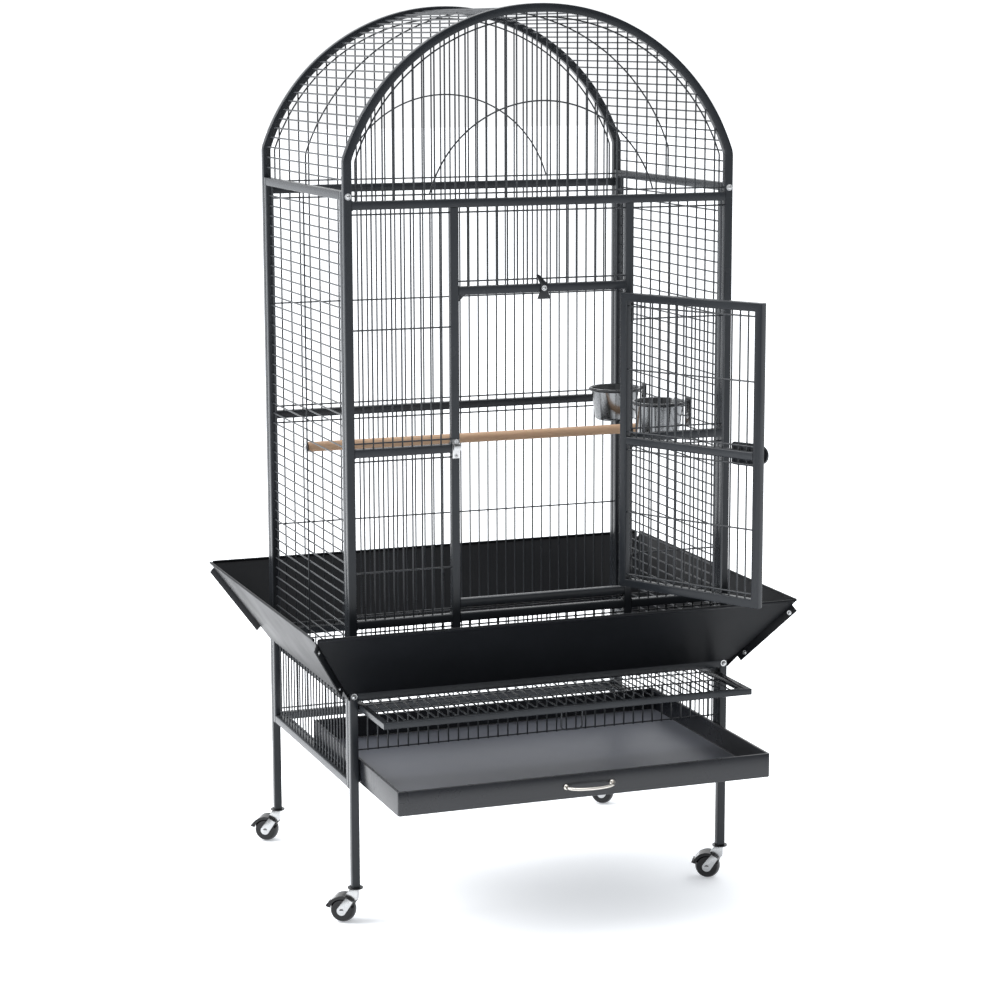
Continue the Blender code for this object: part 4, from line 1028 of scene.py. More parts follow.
@dataclass
class Door:
    """The door with its wires, hinges and latch, in the door's own axes at the hinge."""

    hinge_gap: float = 0.0025
    width: float = 0.319
    standoff: float = 0.0038
    edge_gap: float = 0.005
    bar_count: int = 15
    open_deg: float = 119.0
    plate_size: tuple[float, float, float] = (0.055, 0.042, 0.003)
    leaf_width: float = 0.018
    leaf_sheet: float = 0.0015
    barrel_radius: float = 0.0032
    hub_radius: float = 0.008
    disc_radius: float = 0.018
    knob_radius: float = 0.009
    pawl_width: float = 0.010

    def __post_init__(self) -> None:
        """Find the hinge axis."""
        s = SIZES
        x, y = s.half_doorway - self.hinge_gap, -s.half_depth - self.standoff
        self.axis = HOME @ Matrix.Translation((x, y, 0))
        self.place = self.axis @ Matrix.Rotation(math.radians(self.open_deg), 4, "Z")
        self.bottom = s.over(s.sill) + self.edge_gap
        self.top = s.under(s.header) - self.edge_gap
        self.near = -self.hinge_gap
        self.far = -self.hinge_gap - self.width
        self.middle = self.standoff + s.tube / 2

    def build(self) -> None:
        """Build the whole door."""
        self.frame_tubes()
        self.wires()
        self.hinges()
        self.latch()

    def frame_tubes(self) -> None:
        """Build the door's tube frame and its latch plate."""
        s = SIZES
        half = s.tube / 2
        y = self.middle
        shape = Shape()
        corners = [(self.far + half, y, self.bottom + half), (self.near - half, y, self.bottom + half)]
        corners += [(self.near - half, y, self.top - half), (self.far + half, y, self.top - half)]
        shape.sweep(corners, rounded_square(s.tube, s.tube * 0.13), BACK, loop=True)
        shape.tube(((self.far + s.tube, y, s.mid_rail), (self.near - s.tube, y, s.mid_rail)), BACK)
        width, height, sheet = self.plate_size
        corner = 0.006
        x0, x1 = self.far + half, self.far + s.tube + width
        outline = []
        for cx, cz, start in ((x1, height, 0), (x0, height, 1), (x0, 0, 2), (x1, 0, 3)):
            centre = (cx - math.copysign(corner, cx - x0 - 0.001), cz - math.copysign(corner, cz - 0.001))
            outline += arc(centre, corner, start * math.pi / 2, (start + 1) * math.pi / 2, 5)
        place = facing_front(0, self.standoff + s.gap + sheet / 2, s.mid_rail - height / 2)
        shape.plate(outline, sheet, place)
        piece = shape.moved(self.place).piece("door_tubes", TUBE_COAT, Body.DOOR.value)
        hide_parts("door_frame")

    def wires(self) -> None:
        """Build the two wire panels of the door."""
        s = SIZES
        span = (self.far + s.tube, self.near - s.tube)
        step = (span[1] - span[0]) / (self.bar_count + 1)
        plane = self.place @ facing_front(0, self.middle, 0)
        runs = {
            "door_lower_wires": (self.bottom + s.tube, s.under(s.mid_rail)),
            "door_upper_wires": (s.over(s.mid_rail), self.top - s.tube),
        }
        for node, run in runs.items():
            panel = WirePanel(node.replace("_wires", "_panel"), Body.DOOR, plane)
            cross = (run[0] + s.inset, sum(run) / 2, run[1] - s.inset)
            panel.bars(spread(span, step), *run).cross(cross, span)
            panel.finish(node)

    def hinges(self) -> None:
        """Build the three hinges and their screws."""
        s = SIZES
        for label in ("lower", "middle", "upper"):
            low, high = (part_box(f"hinge_{label}_post_leaf")[i][2] for i in (0, 1))
            third = (high - low) / 3
            play = 0.0002
            back, face = self.standoff - s.gap, self.standoff - s.gap - self.leaf_sheet
            clear = self.barrel_radius + 2 * play
            post = Shape()
            for z0, z1 in ((low, low + third - play), (high - third + play, high)):
                post.rod((0, 0, z0), (0, 0, z1), self.barrel_radius, 20)
                post.block((0, face, z0), (clear + play, back, z1), 0.0002)
            post.rod((0, 0, low + play), (0, 0, high - play), 0.0015, 16)
            post.block((clear, face, low), (self.leaf_width, back, high))
            piece = post.moved(self.axis).piece(f"hinge_{label}_on_post", FITTING_COAT, Body.CAGE.value)
            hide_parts(f"hinge_{label}_post_leaf")
            leaf = Shape()
            leaf.rod((0, 0, low + third + play), (0, 0, high - third - play), self.barrel_radius, 20)
            leaf.block((-clear - play, face, low + third + play), (0, back, high - third - play), 0.0002)
            leaf.block((-self.leaf_width, face, low), (-clear, back, high))
            piece = leaf.moved(self.place).piece(f"hinge_{label}_on_door", FITTING_COAT, Body.DOOR.value)
            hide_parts(f"hinge_{label}_door_leaf")
            middle = (self.leaf_width + clear) / 2
            for side, place, body in ((1, self.axis, Body.CAGE), (-1, self.place, Body.DOOR)):
                screws = Shape()
                for z in (low + third / 2, high - third / 2):
                    screw_head(screws, facing_front(side * middle, face, z), 0.0024, 0.0014)
                screws.moved(place).piece(f"hinge_{label}_screws_{body.value}", BRIGHT_ZINC, body.value)

    def latch(self) -> None:
        """Build the turning latch with its pawl, disc and knob."""
        s = SIZES
        hub, pawl, disc, knob = 0.003, 0.003, 0.006, 0.010
        reach = 2 * s.tube + self.edge_gap / 2
        pivot = self.place @ Matrix.Translation((self.far + s.tube, self.standoff, s.mid_rail))
        out = Matrix.Rotation(math.pi / 2, 4, "X")
        shape = Shape()
        shape.turned(
            [(0, s.gap), (self.hub_radius, s.gap), (self.hub_radius, hub + pawl / 2), (0, hub + pawl / 2)],
            out,
        )
        half = self.pawl_width / 2
        tip = arc((0, -reach + half), half, math.pi, math.tau, 8)
        outline = [(half, 0), (-half, 0), *tip]
        shape.plate(outline, pawl, out @ Matrix.Translation((0, 0, hub + pawl / 2)))
        base = hub + pawl
        edge = 0.0012
        ring = [(0, base), (self.disc_radius - edge, base), (self.disc_radius, base + edge)]
        ring += [
            (self.disc_radius, base + disc - 2 * edge),
            (self.disc_radius - 2 * edge, base + disc),
            (0, base + disc),
        ]
        shape.turned(ring, out, 40)
        foot = base + disc - edge
        tall = base + disc + knob
        grip = [(0, foot), (self.knob_radius * 0.82, foot), (self.knob_radius * 0.78, foot + knob * 0.3)]
        grip += [(self.knob_radius, foot + knob * 0.6), (self.knob_radius, tall - 2 * edge)]
        grip += [(self.knob_radius - edge, tall - edge / 2), (self.knob_radius * 0.5, tall), (0, tall)]
        shape.turned(grip, out, 36)
        piece = shape.moved(pivot).piece("latch_knob", FITTING_COAT, Body.LATCH.value)
        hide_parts("door_latch")


@dataclass
class DoorwayFittings:
    """The keeper on the left door post and the catch on the header."""

    def build(self) -> None:
        """Build both fittings."""
        self.keeper()
        self.catch()

    def keeper(self) -> None:
        """Build the bright keeper that takes the latch's pawl."""
        low, high = (Vector(corner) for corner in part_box("latch_keeper"))
        sheet, lip, neck = 0.0015, 0.002, 0.0062
        back = high.y
        middle = SIZES.mid_rail
        shape = Shape()
        shape.block((low.x, back - sheet, low.z), (high.x, back, high.z), 0.0005)
        front = low.y
        shape.block((low.x, front, middle + neck), (high.x, back - sheet / 2, middle + neck + lip), 0.0005)
        shape.block((low.x, front, middle - neck / 2), (high.x, front + lip, middle + neck + lip), 0.0006)
        centre_x = (low.x + high.x) / 2
        for z in (low.z + 0.0045, high.z - 0.0045):
            screw_head(shape, facing_front(centre_x, back - sheet, z), 0.0026, 0.0016)
        piece = shape.piece("keeper", BRIGHT_ZINC, Body.CAGE.value)
        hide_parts("latch_keeper")

    def catch(self) -> None:
        """Build the hanging catch on the header with its bright bolt."""
        low, high = (Vector(corner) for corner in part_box("header_catch"))
        s = SIZES
        pivot_z = s.header
        neck, drop, foot = 0.007, pivot_z - low.z, 0.012
        waist = s.tube / 2
        arm, lean, rise = 0.003, 0.012, high.z - pivot_z
        bottom = arc(
            (0, 0),
            math.hypot(foot, drop),
            math.atan2(-drop + 0.002, -foot),
            math.atan2(-drop + 0.002, foot),
            8,
        )
        bottom = [(x, max(z, -drop)) for x, z in bottom]
        outline = [(neck, waist), (neck * 0.9, -waist * 0.4), *reversed(bottom), (-neck * 0.9, -waist * 0.4)]
        outline += [
            (-neck, waist), (-arm - lean, rise - arm), (-lean - arm / 2, rise), (arm - lean, rise - arm / 2)
        ]
        sheet = high.y - low.y
        shape = Shape()
        shape.plate(outline, sheet, facing_front(0, high.y - sheet / 2, pivot_z))
        piece = shape.piece("catch_plate", FITTING_COAT, Body.CATCH.value)
        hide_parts("header_catch")
        bolt = Shape()
        screw_head(bolt, facing_front(0, low.y, pivot_z), 0.0036, 0.0024)
        bolt.piece("catch_bolt", BRIGHT_ZINC, Body.CATCH.value)


@dataclass
class Skirt:
    """The flared skirt in four panels with rolled rims and seam fins."""

    flare_x: float = 0.096
    flare_y: float = 0.103
    rim_z: float = 0.5705
    front_z: float = 0.441
    side_z: float = 0.427
    sheet: float = 0.0012
    curl: float = 0.0026
    fin: tuple[float, float] = (0.016, 0.0015)
    fin_short: float = 0.014
    rounding: float = 0.011

    def corner_line(self) -> tuple[Vector, Vector]:
        """Lower and upper end of the front right corner."""
        rise = (self.front_z - self.side_z) / (self.rim_z - self.side_z)
        low = Vector((SIZES.half_width + self.flare_x * rise, -SIZES.half_depth, self.front_z))
        high = Vector((SIZES.half_width + self.flare_x, -SIZES.half_depth - self.flare_y, self.rim_z))
        return low, high

    def section(self, lowest: float, flare: float, face: float) -> list[tuple[float, float]]:
        """The cross-section of a panel as (outward, height), from its foot up to the curl and back."""
        rise = self.rim_z - lowest
        length = math.hypot(flare, rise)
        normal = (rise / length * self.sheet, -flare / length * self.sheet)
        slope = math.atan2(rise, flare)
        high = [1 - self.rounding / rise * (1 - k / 4) for k in range(4)]
        inner = [(face + flare * share, lowest + rise * share) for share in (0.0, 0.5, *high)]
        centre = (face + flare, self.rim_z)
        curl = arc(centre, self.curl, slope + math.pi * 0.6, slope - math.pi * 0.75, 14)
        outer = [(out + normal[0], z + normal[1]) for out, z in reversed(inner)]
        return inner + curl + outer

    def panel(
        self, half: Callable[[float], float], lowest: float, flare: float, face: float, trim: float
    ) -> Shape:
        """A panel that faces -Y.

        Args:
            half: Half the panel's length at a height.
            lowest: Height of its lower edge.
            flare: How far its rim stands out.
            face: Where its foot lies.
            trim: How far it stops short of the corners.

        Returns:
            The panel's shape.
        """
        section = self.section(lowest, flare, face)
        stops = [-1 + i / 6 for i in range(13)]

        def reach(z: float) -> float:
            """Half length at a height, rounded off close under the rim."""
            share = max(0.0, min(1.0, 1 - (self.rim_z + self.curl - z) / self.rounding))
            return half(z) - trim - self.rounding * (1 - math.sqrt(1 - share**2))

        return Shape().rings([[Vector((stop * reach(z), -out, z)) for out, z in section] for stop in stops])

    def fin_plate(self, shape: Shape, side: int, outer_face: bool) -> None:
        """Add one seam fin at a corner of the front.

        Args:
            shape: The panel that it belongs to.
            side: -1 for the left corner and 1 for the right.
            outer_face: True for the front panel's own fin, False for the side panel's.
        """
        width, sheet = self.fin
        low, high = self.corner_line()
        along = (high - low).normalized()
        outward = Vector((along.x, along.y, 0)).normalized()
        across = (outward - along * outward.dot(along)).normalized()
        normal = along.cross(across)
        length = (high - low).length - 2 * self.fin_short
        middle = (low + high) / 2 + across * (width / 2 - self.sheet)
        shift = 0.00002 + sheet / 2
        faces_front = normal.y < 0
        middle = middle + normal * (shift if faces_front == outer_face else -shift)
        frame_axes = Matrix((along, across, normal)).transposed().to_4x4()
        place = Matrix.Translation(middle) @ frame_axes
        if side < 0:
            place = Matrix.Diagonal((-1, 1, 1, 1)) @ place
        shape.block((-length / 2, -width / 2, -sheet / 2), (length / 2, width / 2, sheet / 2), 0.0004, place)

    def fin_screws(self, shape: Shape, side: int, turn: Matrix) -> None:
        """Add the two bright screws of a seam, on the face that looks to the front."""
        width, sheet = self.fin
        low, high = self.corner_line()
        along = (high - low).normalized()
        outward = Vector((along.x, along.y, 0)).normalized()
        across = (outward - along * outward.dot(along)).normalized()
        normal = along.cross(across)
        if normal.y > 0:
            normal = -normal
        for share in (0.17, 0.85):
            at = low.lerp(high, share) + across * (width * 0.5) + normal * sheet
            place = Matrix.Translation(at) @ normal.to_track_quat("Z", "Y").to_matrix().to_4x4()
            if side < 0:
                place = Matrix.Diagonal((-1, 1, 1, 1)) @ place
            screw_head(shape, turn @ place, 0.003, 0.0018)

    def build(self) -> None:
        """Build the four panels, their fins and screws."""
        s = SIZES
        low, high = self.corner_line()

        def front_half(z: float) -> float:
            """Half length of the front panel at a height."""
            return low.x + (high.x - low.x) * (z - low.z) / (high.z - low.z)

        def side_half(z: float) -> float:
            """Half length of a side panel at a height."""
            share = max(0.0, (z - self.front_z) / (self.rim_z - self.front_z))
            return s.half_depth + self.flare_y * share

        for label, angle in (("front", 0.0), ("rear", math.pi)):
            turn = HOME @ Matrix.Rotation(angle, 4, "Z")
            shape = self.panel(front_half, self.front_z, self.flare_y, s.half_depth + s.gap, self.sheet * 1.5)
            for side in (-1, 1):
                self.fin_plate(shape, side, True)
            piece = shape.moved(turn).piece(f"{label}_skirt_panel", SHEET_COAT, Body.CAGE.value, 30)
            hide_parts(f"{label}_skirt")
            screws = Shape()
            for side in (-1, 1):
                self.fin_screws(screws, side, turn)
            screws.piece(f"{label}_skirt_screws", BRIGHT_ZINC, Body.CAGE.value)
        for label, side in (("right", 1), ("left", -1)):
            turn = HOME @ Matrix.Rotation(side * math.pi / 2, 4, "Z")
            shape = self.panel(side_half, self.side_z, self.flare_x, s.half_width + s.gap, self.sheet * 1.5)
            shape.moved(turn)
            fins = Shape()
            self.fin_plate(fins, side, False)
            fins.moved(HOME)
            back = Shape()
            self.fin_plate(back, -side, False)
            back.moved(HOME @ Matrix.Rotation(math.pi, 4, "Z"))
            for extra in (fins, back):
                first = len(shape.points)
                shape.points += extra.points
                shape.faces += [[first + i for i in face] for face in extra.faces]
            piece = shape.piece(f"{label}_skirt_panel", SHEET_COAT, Body.CAGE.value, 30)
            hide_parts(f"{label}_skirt")


def rounded_loop(half_x: float, half_y: float, centre_y: float, corner: float, z: float) -> list[Vector]:
    """A level rectangle with rounded corners."""
    points = []
    for quarter in range(4):
        cx = (half_x - corner) * (1 if quarter in (0, 3) else -1)
        cy = (half_y - corner) * (1 if quarter in (0, 1) else -1)
        for i in range(5):
            angle = math.pi / 2 * (quarter + i / 4)
            points.append(
                Vector((cx + corner * math.cos(angle), centre_y + cy + corner * math.sin(angle), z))
            )
    return points


@dataclass
class PullOuts:
    """The grille and the tray."""

    grille_bar: float = 0.012
    tray_sheet: float = 0.0012
    hem: float = 0.006
    pull_width: float = 0.044
    handle_width: float = 0.090
    handle_rise: float = 0.024
    handle_radius: float = 0.0028

    def build_grille(self) -> None:
        """Build the grille's frame, its pull and its bars."""
        s = SIZES
        low, high = (Vector(corner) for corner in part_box("grille_frame"))
        bar = self.grille_bar
        z = high.z - bar / 2
        half = bar / 2
        x0, x1, y0, y1 = low.x + half, high.x - half, low.y + half, high.y - half
        shape = Shape()
        shape.sweep(
            ((x0, y0, z), (x1, y0, z), (x1, y1, z), (x0, y1, z)),
            rounded_square(bar, bar * 0.14),
            UP,
            loop=True,
        )
        pull_y = low.y + 2 * s.wire
        top, bottom = high.z - bar + 2 * s.wire, low.z + s.wire
        bend = 0.007
        right, left = self.pull_width / 2 - s.wire, -self.pull_width / 2 + s.wire
        path = [(left, pull_y, top)]
        path += [
            (x, pull_y, zz) for x, zz in arc((left + bend, bottom + bend), bend, math.pi, math.pi * 1.5, 6)
        ]
        path += [(x, pull_y, zz) for x, zz in arc((right - bend, bottom + bend), bend, -math.pi / 2, 0, 6)]
        path += [(right, pull_y, top)]
        shape.bent_rod(path, s.wire * 1.15, BACK, 12)
        piece = shape.piece("grille_rim", TUBE_COAT, Body.GRILLE.value)
        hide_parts("grille_frame")
        span = (low.x + bar, high.x - bar)
        run = (low.y + bar, high.y - bar)
        plane = Matrix.Translation((0, 0, z))
        wires = WirePanel("grille_bars", Body.GRILLE, plane)
        cross = (
            run[0] + s.inset,
            run[0] + (run[1] - run[0]) / 3,
            run[0] + (run[1] - run[0]) * 2 / 3,
            run[1] - s.inset,
        )
        wires.bars(spread(span, s.bar_pitch), *run).cross(cross, span)
        wires.finish("grille_wires")

    def build_tray(self) -> None:
        """Build the folded tray and its bow handle."""
        low, high = (Vector(corner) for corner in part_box("tray"))
        half_x, half_y = (high.x - low.x) / 2, (high.y - low.y) / 2
        cy = (high.y + low.y) / 2
        t, hem = self.tray_sheet, self.hem
        bend = 0.0012
        loops = [
            (bend, low.z, 0.004), (bend * 0.3, low.z + bend * 0.3, 0.005), (0, low.z + bend, 0.005),
            (0, high.z - bend, 0.005), (bend * 0.3, high.z - bend * 0.3, 0.005), (bend, high.z, 0.004),
            (hem - bend, high.z, 0.002), (hem, high.z - bend, 0.002), (hem, high.z - 0.010, 0.002),
            (hem - t, high.z - 0.010, 0.002), (hem - t, high.z - t * 1.4, 0.003), (
                t, high.z - t * 1.4, 0.004
            ),
            (t, low.z + t + bend, 0.004), (t + bend, low.z + t, 0.003),
        ]
        rings = [rounded_loop(half_x - inset, half_y - inset, cy, corner, z) for inset, z, corner in loops]
        piece = Shape().rings(rings).piece("tray_pan", TRAY_COAT, Body.TRAY.value, 40)
        # Upward faces of the tray floor take the lighter copy of the tray paint: painted light and painted
        # reflection, not a different finish
        piece.data.materials.append(TRAY_FLOOR_PAINTED_LIGHT.material())
        for face in piece.data.polygons:
            if face.normal.z > 0.9 and face.center.z < (low.z + high.z) / 2:
                face.material_index = 1
        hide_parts("tray")
        z = (low.z + high.z) / 2
        steps = 24
        radius = self.handle_radius
        front = low.y - SIZES.gap
        bow = []
        for i in range(steps + 1):
            angle = math.pi * i / steps
            lift = math.sin(angle) ** 0.8
            bow.append(
                (-self.handle_width / 2 * math.cos(angle), front - radius - self.handle_rise * lift, z)
            )
        handle = Shape().bent_rod(bow, radius, UP, 14)
        for x in (-self.handle_width / 2, self.handle_width / 2):
            profile = [(0, 0), (radius * 2.1, 0), (radius * 2.1, 0.0012), (radius * 1.3, 0.0046), (0, 0.0052)]
            handle.turned(profile, facing_front(x, front, z), 24)
        piece = handle.piece("tray_bow_handle", NICKEL, Body.TRAY.value, 50)
        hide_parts("tray_handle")


@dataclass
class Casters:
    """Four ball casters with hoods, stems and axle caps."""

    ball_radius: float = 0.0245
    half_width: float = 0.0145
    clearance: float = 0.002
    hood: float = 0.002
    cheek: float = 0.002
    cheek_gap: float = 0.0006
    trail: float = 0.0233
    turn_deg: float = 149.0
    collar_radius: float = 0.0145
    collar: float = 0.003
    axle_radius: float = 0.003
    lip: float = 0.004
    hood_span_deg: tuple[float, float] = (14.0, 150.0)
    arm_radius: float = 0.009
    arm_proud: float = 0.0006

    def build(self) -> None:
        """Build all four casters."""
        s = SIZES
        for depth, side_y in (("front", -1), ("rear", 1)):
            for side, side_x in (("left", -1), ("right", 1)):
                stem = (side_x * (s.half_width - s.tube / 2), side_y * (s.half_depth - s.tube / 2), 0)
                place = HOME @ Matrix.Translation(stem) @ Matrix.Rotation(math.radians(self.turn_deg), 4, "Z")
                self.one(f"caster_{depth}_{side}", place)

    def one(self, name: str, place: Matrix) -> None:
        """Build one caster.

        Args:
            name: The caster's name, which its bodies start with.
            place: The stem's axes, with the ball trailing along X.
        """
        centre = Vector((self.trail, 0, self.ball_radius))
        inner = self.ball_radius + self.clearance
        near = self.half_width + self.cheek_gap
        far = near + self.cheek
        upright = Matrix.Rotation(math.pi / 2, 4, "X")
        sideways = Matrix.Translation(centre) @ upright
        top = SIZES.leg_foot - SIZES.gap
        self.hood_piece(name, place, centre, inner, near, far, top)
        self.bracket(name, place, centre, near, far, top - self.collar)
        flat = math.asin(self.half_width / self.ball_radius)
        turns = [flat * k / 8 for k in range(-8, 9)]
        outline = [(self.ball_radius * math.cos(turn), self.ball_radius * math.sin(turn)) for turn in turns]
        groove = 0.0006
        outline[8:9] = [
            (self.ball_radius, -groove), (self.ball_radius - groove, 0), (self.ball_radius, groove)
        ]
        profile = [(self.axle_radius, -self.half_width), *outline, (self.axle_radius, self.half_width)]
        ball = Shape().turned(profile, sideways, 48)
        piece = ball.moved(place).piece(f"{name}_wheel", HOOD_PLASTIC, f"{name}_ball", 30)
        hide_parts(f"{name}_ball")

    def hood_piece(
        self, name: str, place: Matrix, centre: Vector, inner: float, near: float, far: float, top: float
    ) -> None:
        """Build the hood with its lips and tab, and the collar above it.

        Args:
            name: The caster's name.
            place: The stem's axes.
            centre: Middle of the ball.
            inner: Radius inside the hood.
            near: Inner face of a cheek.
            far: Outer face of a cheek.
            top: Upper face of the collar.
        """
        outer = inner + self.hood
        lip = inner - self.lip
        edge = 0.0007
        section = [
            (lip, -far), (outer - edge, -far), (outer, -far + edge), (outer, far - edge), (outer - edge, far)
        ]
        section += [(lip, far), (lip, near), (inner, near), (inner, -near), (lip, -near)]
        rings = []
        steps = 26
        low, high = self.hood_span_deg
        for i in range(steps + 1):
            angle = math.radians(low + (high - low) * i / steps)
            direction = Vector((math.cos(angle), 0, math.sin(angle)))
            rings.append([centre + direction * r + BACK * y for r, y in section])
        hood = Shape().rings(rings)
        tilt = Matrix.Translation(centre) @ Matrix.Rotation(-math.radians(low), 4, "Y")
        hood.block((outer - 0.001, -far, 0), (outer + 0.003, far, 0.0035), 0.0006, tilt)
        under = top - self.collar
        hood.turned(
            [
                (0, under),
                (self.collar_radius * 0.8, under),
                (self.collar_radius, under + 0.001),
                (self.collar_radius, top),
                (0, top),
            ],
            Matrix.Identity(4),
            28,
        )
        piece = hood.moved(place).piece(f"{name}_hood", HOOD_PLASTIC, f"{name}_fork", 35)
        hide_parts(f"{name}_fork")

    def bracket(
        self, name: str, place: Matrix, centre: Vector, near: float, far: float, under: float
    ) -> None:
        """Build the bright neck, its two arms and the axle's heads.

        Args:
            name: The caster's name.
            place: The stem's axes.
            centre: Middle of the ball.
            near: Inner face of a cheek.
            far: Outer face of a cheek.
            under: Lower face of the collar.
        """
        upright = Matrix.Rotation(math.pi / 2, 4, "X")
        bright = Shape()
        stem = -self.trail
        rise = under - centre.z + 0.0005
        crown = self.ball_radius + self.clearance + self.hood / 2
        neck = [
            (stem - 0.007, rise),
            (stem - 0.0055, 0.021),
            (stem + 0.003, 0.0165),
            (-0.005, crown),
            (stem + 0.009, rise),
        ]
        bright.plate(neck, 0.017, Matrix.Translation(centre) @ upright, 0.0015)
        end = arc((0, 0), self.arm_radius, math.radians(-140), math.radians(40), 14)
        arm = [*end, (-0.009, crown - 0.001), (-0.0225, crown - 0.009)]
        for side in (-1, 1):
            middle = side * (near + far + self.arm_proud) / 2
            plane = Matrix.Translation(centre + BACK * middle) @ upright
            bright.plate(arm, far - near + self.arm_proud, plane, 0.0005)
            out = Matrix.Translation(centre) @ Matrix.Rotation(-side * math.pi / 2, 4, "X")
            head = far + self.arm_proud / 2
            dome = [
                (0, head), (0.0048, head), (0.0046, head + 0.0012), (0.003, head + 0.0022), (0, head + 0.0026)
            ]
            bright.turned(dome, out, 24)
        bright.moved(place).piece(f"{name}_bracket", BRIGHT_ZINC, f"{name}_fork", 35)


@dataclass
class Furnishings:
    """The perch, the cups and their holders."""

    cup_radius: float = 0.0485
    foot_radius: float = 0.041
    rim: float = 0.004
    sheet: float = 0.0012
    ring_radius: float = 0.0025
    ring_clearance: float = 0.0008

    def perch(self) -> None:
        """Build the wooden perch with its turned ends and the screw at its left end."""
        low, high = (Vector(corner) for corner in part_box("perch"))
        radius = (high.z - low.z) / 2
        place = Matrix.Translation((0, (low.y + high.y) / 2, (low.z + high.z) / 2)) @ Matrix.Rotation(
            math.pi / 2, 4, "Y"
        )
        chamfer = 0.0012
        profile = [(0, low.x), (radius - chamfer, low.x), (radius, low.x + chamfer)]
        profile += [(radius, low.x + (high.x - low.x) * k / 12) for k in range(1, 12)]
        profile += [(radius, high.x - chamfer), (radius - chamfer, high.x), (0, high.x)]
        piece = Shape().turned(profile, place, 40).piece("perch_dowel", PERCH_WOOD, Body.CAGE.value, 40)
        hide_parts("perch")
        screws = Shape()
        outward = 2 * SIZES.wire + SIZES.gap
        for side, x in ((-1, low.x), (1, high.x)):
            at = Matrix.Translation((x + side * outward, place.translation.y, place.translation.z))
            out = at @ Matrix.Rotation(side * math.pi / 2, 4, "Y")
            screws.turned([(0, 0), (0.011, 0), (0.011, 0.001), (0, 0.001)], out, 28)
            screw_head(screws, out @ Matrix.Translation((0, 0, 0.001)), 0.0036, 0.0022)
        screws.piece("perch_screws", BRIGHT_ZINC, Body.CAGE.value)

    def cup(self, label: str, body: Body) -> None:
        """Build one cup and its holder.

        Args:
            label: "front" or "rear".
            body: The cup's own body.
        """
        s = SIZES
        low, high = (Vector(corner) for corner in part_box(f"{label}_cup"))
        x, y = (low.x + high.x) / 2, (low.y + high.y) / 2
        place = Matrix.Translation((x, y, 0))
        t = self.sheet
        edge = 0.006
        wall = (self.cup_radius - self.foot_radius) / (high.z - low.z)
        outside = arc((self.foot_radius - edge, low.z + edge), edge, -math.pi / 2, -0.12, 6)
        inside = [(r - t, z + t * 0.4) for r, z in reversed(outside)]
        bead = t * 0.9
        lip_z = high.z - t
        lip = [(self.cup_radius, lip_z), (self.cup_radius + self.rim - bead, lip_z)]
        lip += arc((self.cup_radius + self.rim - bead, lip_z + t / 2), t / 2, -math.pi / 2, math.pi / 2, 6)
        lip += [(self.cup_radius + t, high.z), (self.cup_radius - t * 0.6, high.z - t * 0.4)]
        lip += [(self.cup_radius - t - wall * 0.004, high.z - 0.004)]
        profile = [(0, low.z), *outside, *lip, *inside, (0, low.z + t)]
        piece = Shape().turned(profile, place, 56).piece(f"{label}_steel_cup", STAINLESS, body.value, 40)
        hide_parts(f"{label}_cup")
        self.holder(label, x, y, lip_z)

    def holder(self, label: str, x: float, y: float, lip_z: float) -> None:
        """Build the ring that a cup hangs in, and its hook plate."""
        s = SIZES
        low, high = (Vector(corner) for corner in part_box(f"{label}_cup_holder"))
        ring_z = lip_z - s.gap - self.ring_radius
        middle = self.cup_radius + self.ring_clearance + self.ring_radius
        profile = [(middle + a, ring_z + b) for a, b in circle(self.ring_radius, 12)]
        shape = Shape().turned(profile, Matrix.Translation((x, y, 0)), 56)
        for side in (-1, 1):
            wire_y = y + side * 0.0045
            shape.rod(
                (x + middle, wire_y, ring_z), (high.x - 0.0015, wire_y, ring_z), self.ring_radius * 0.9, 12
            )
        shape.block((high.x - 0.003, y - 0.010, low.z), (high.x, y + 0.010, high.z), 0.0008)
        piece = shape.piece(f"{label}_cup_ring", FITTING_COAT, Body.CAGE.value)
        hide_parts(f"{label}_cup_holder")
        nut = Shape()
        out = Matrix.Translation((high.x - 0.003, y, (low.z + high.z) / 2 - 0.008)) @ Matrix.Rotation(
            -math.pi / 2, 4, "Y"
        )
        screw_head(nut, out, 0.004, 0.003)
        nut.piece(f"{label}_holder_screw", BRIGHT_ZINC, Body.CAGE.value)


@dataclass
class FrameBolts:
    """Bright bolts that hold the side frames to the portals."""

    radius: float = 0.0042
    heights: tuple[float, ...] = (0.434, 1.349)

    def build(self) -> None:
        """Build the bolts on both portals."""
        s = SIZES
        shape = Shape()
        for side_x in (-1, 1):
            x = side_x * (s.half_width - s.tube / 2)
            for z in self.heights:
                screw_head(shape, HOME @ facing_front(x, -s.half_depth, z), self.radius, 0.0026)
                rear = HOME @ Matrix.Rotation(math.pi, 4, "Z") @ facing_front(x, -s.half_depth, z)
                screw_head(shape, rear, self.radius, 0.0026)
        shape.piece("frame_bolts", BRIGHT_ZINC, Body.CAGE.value)


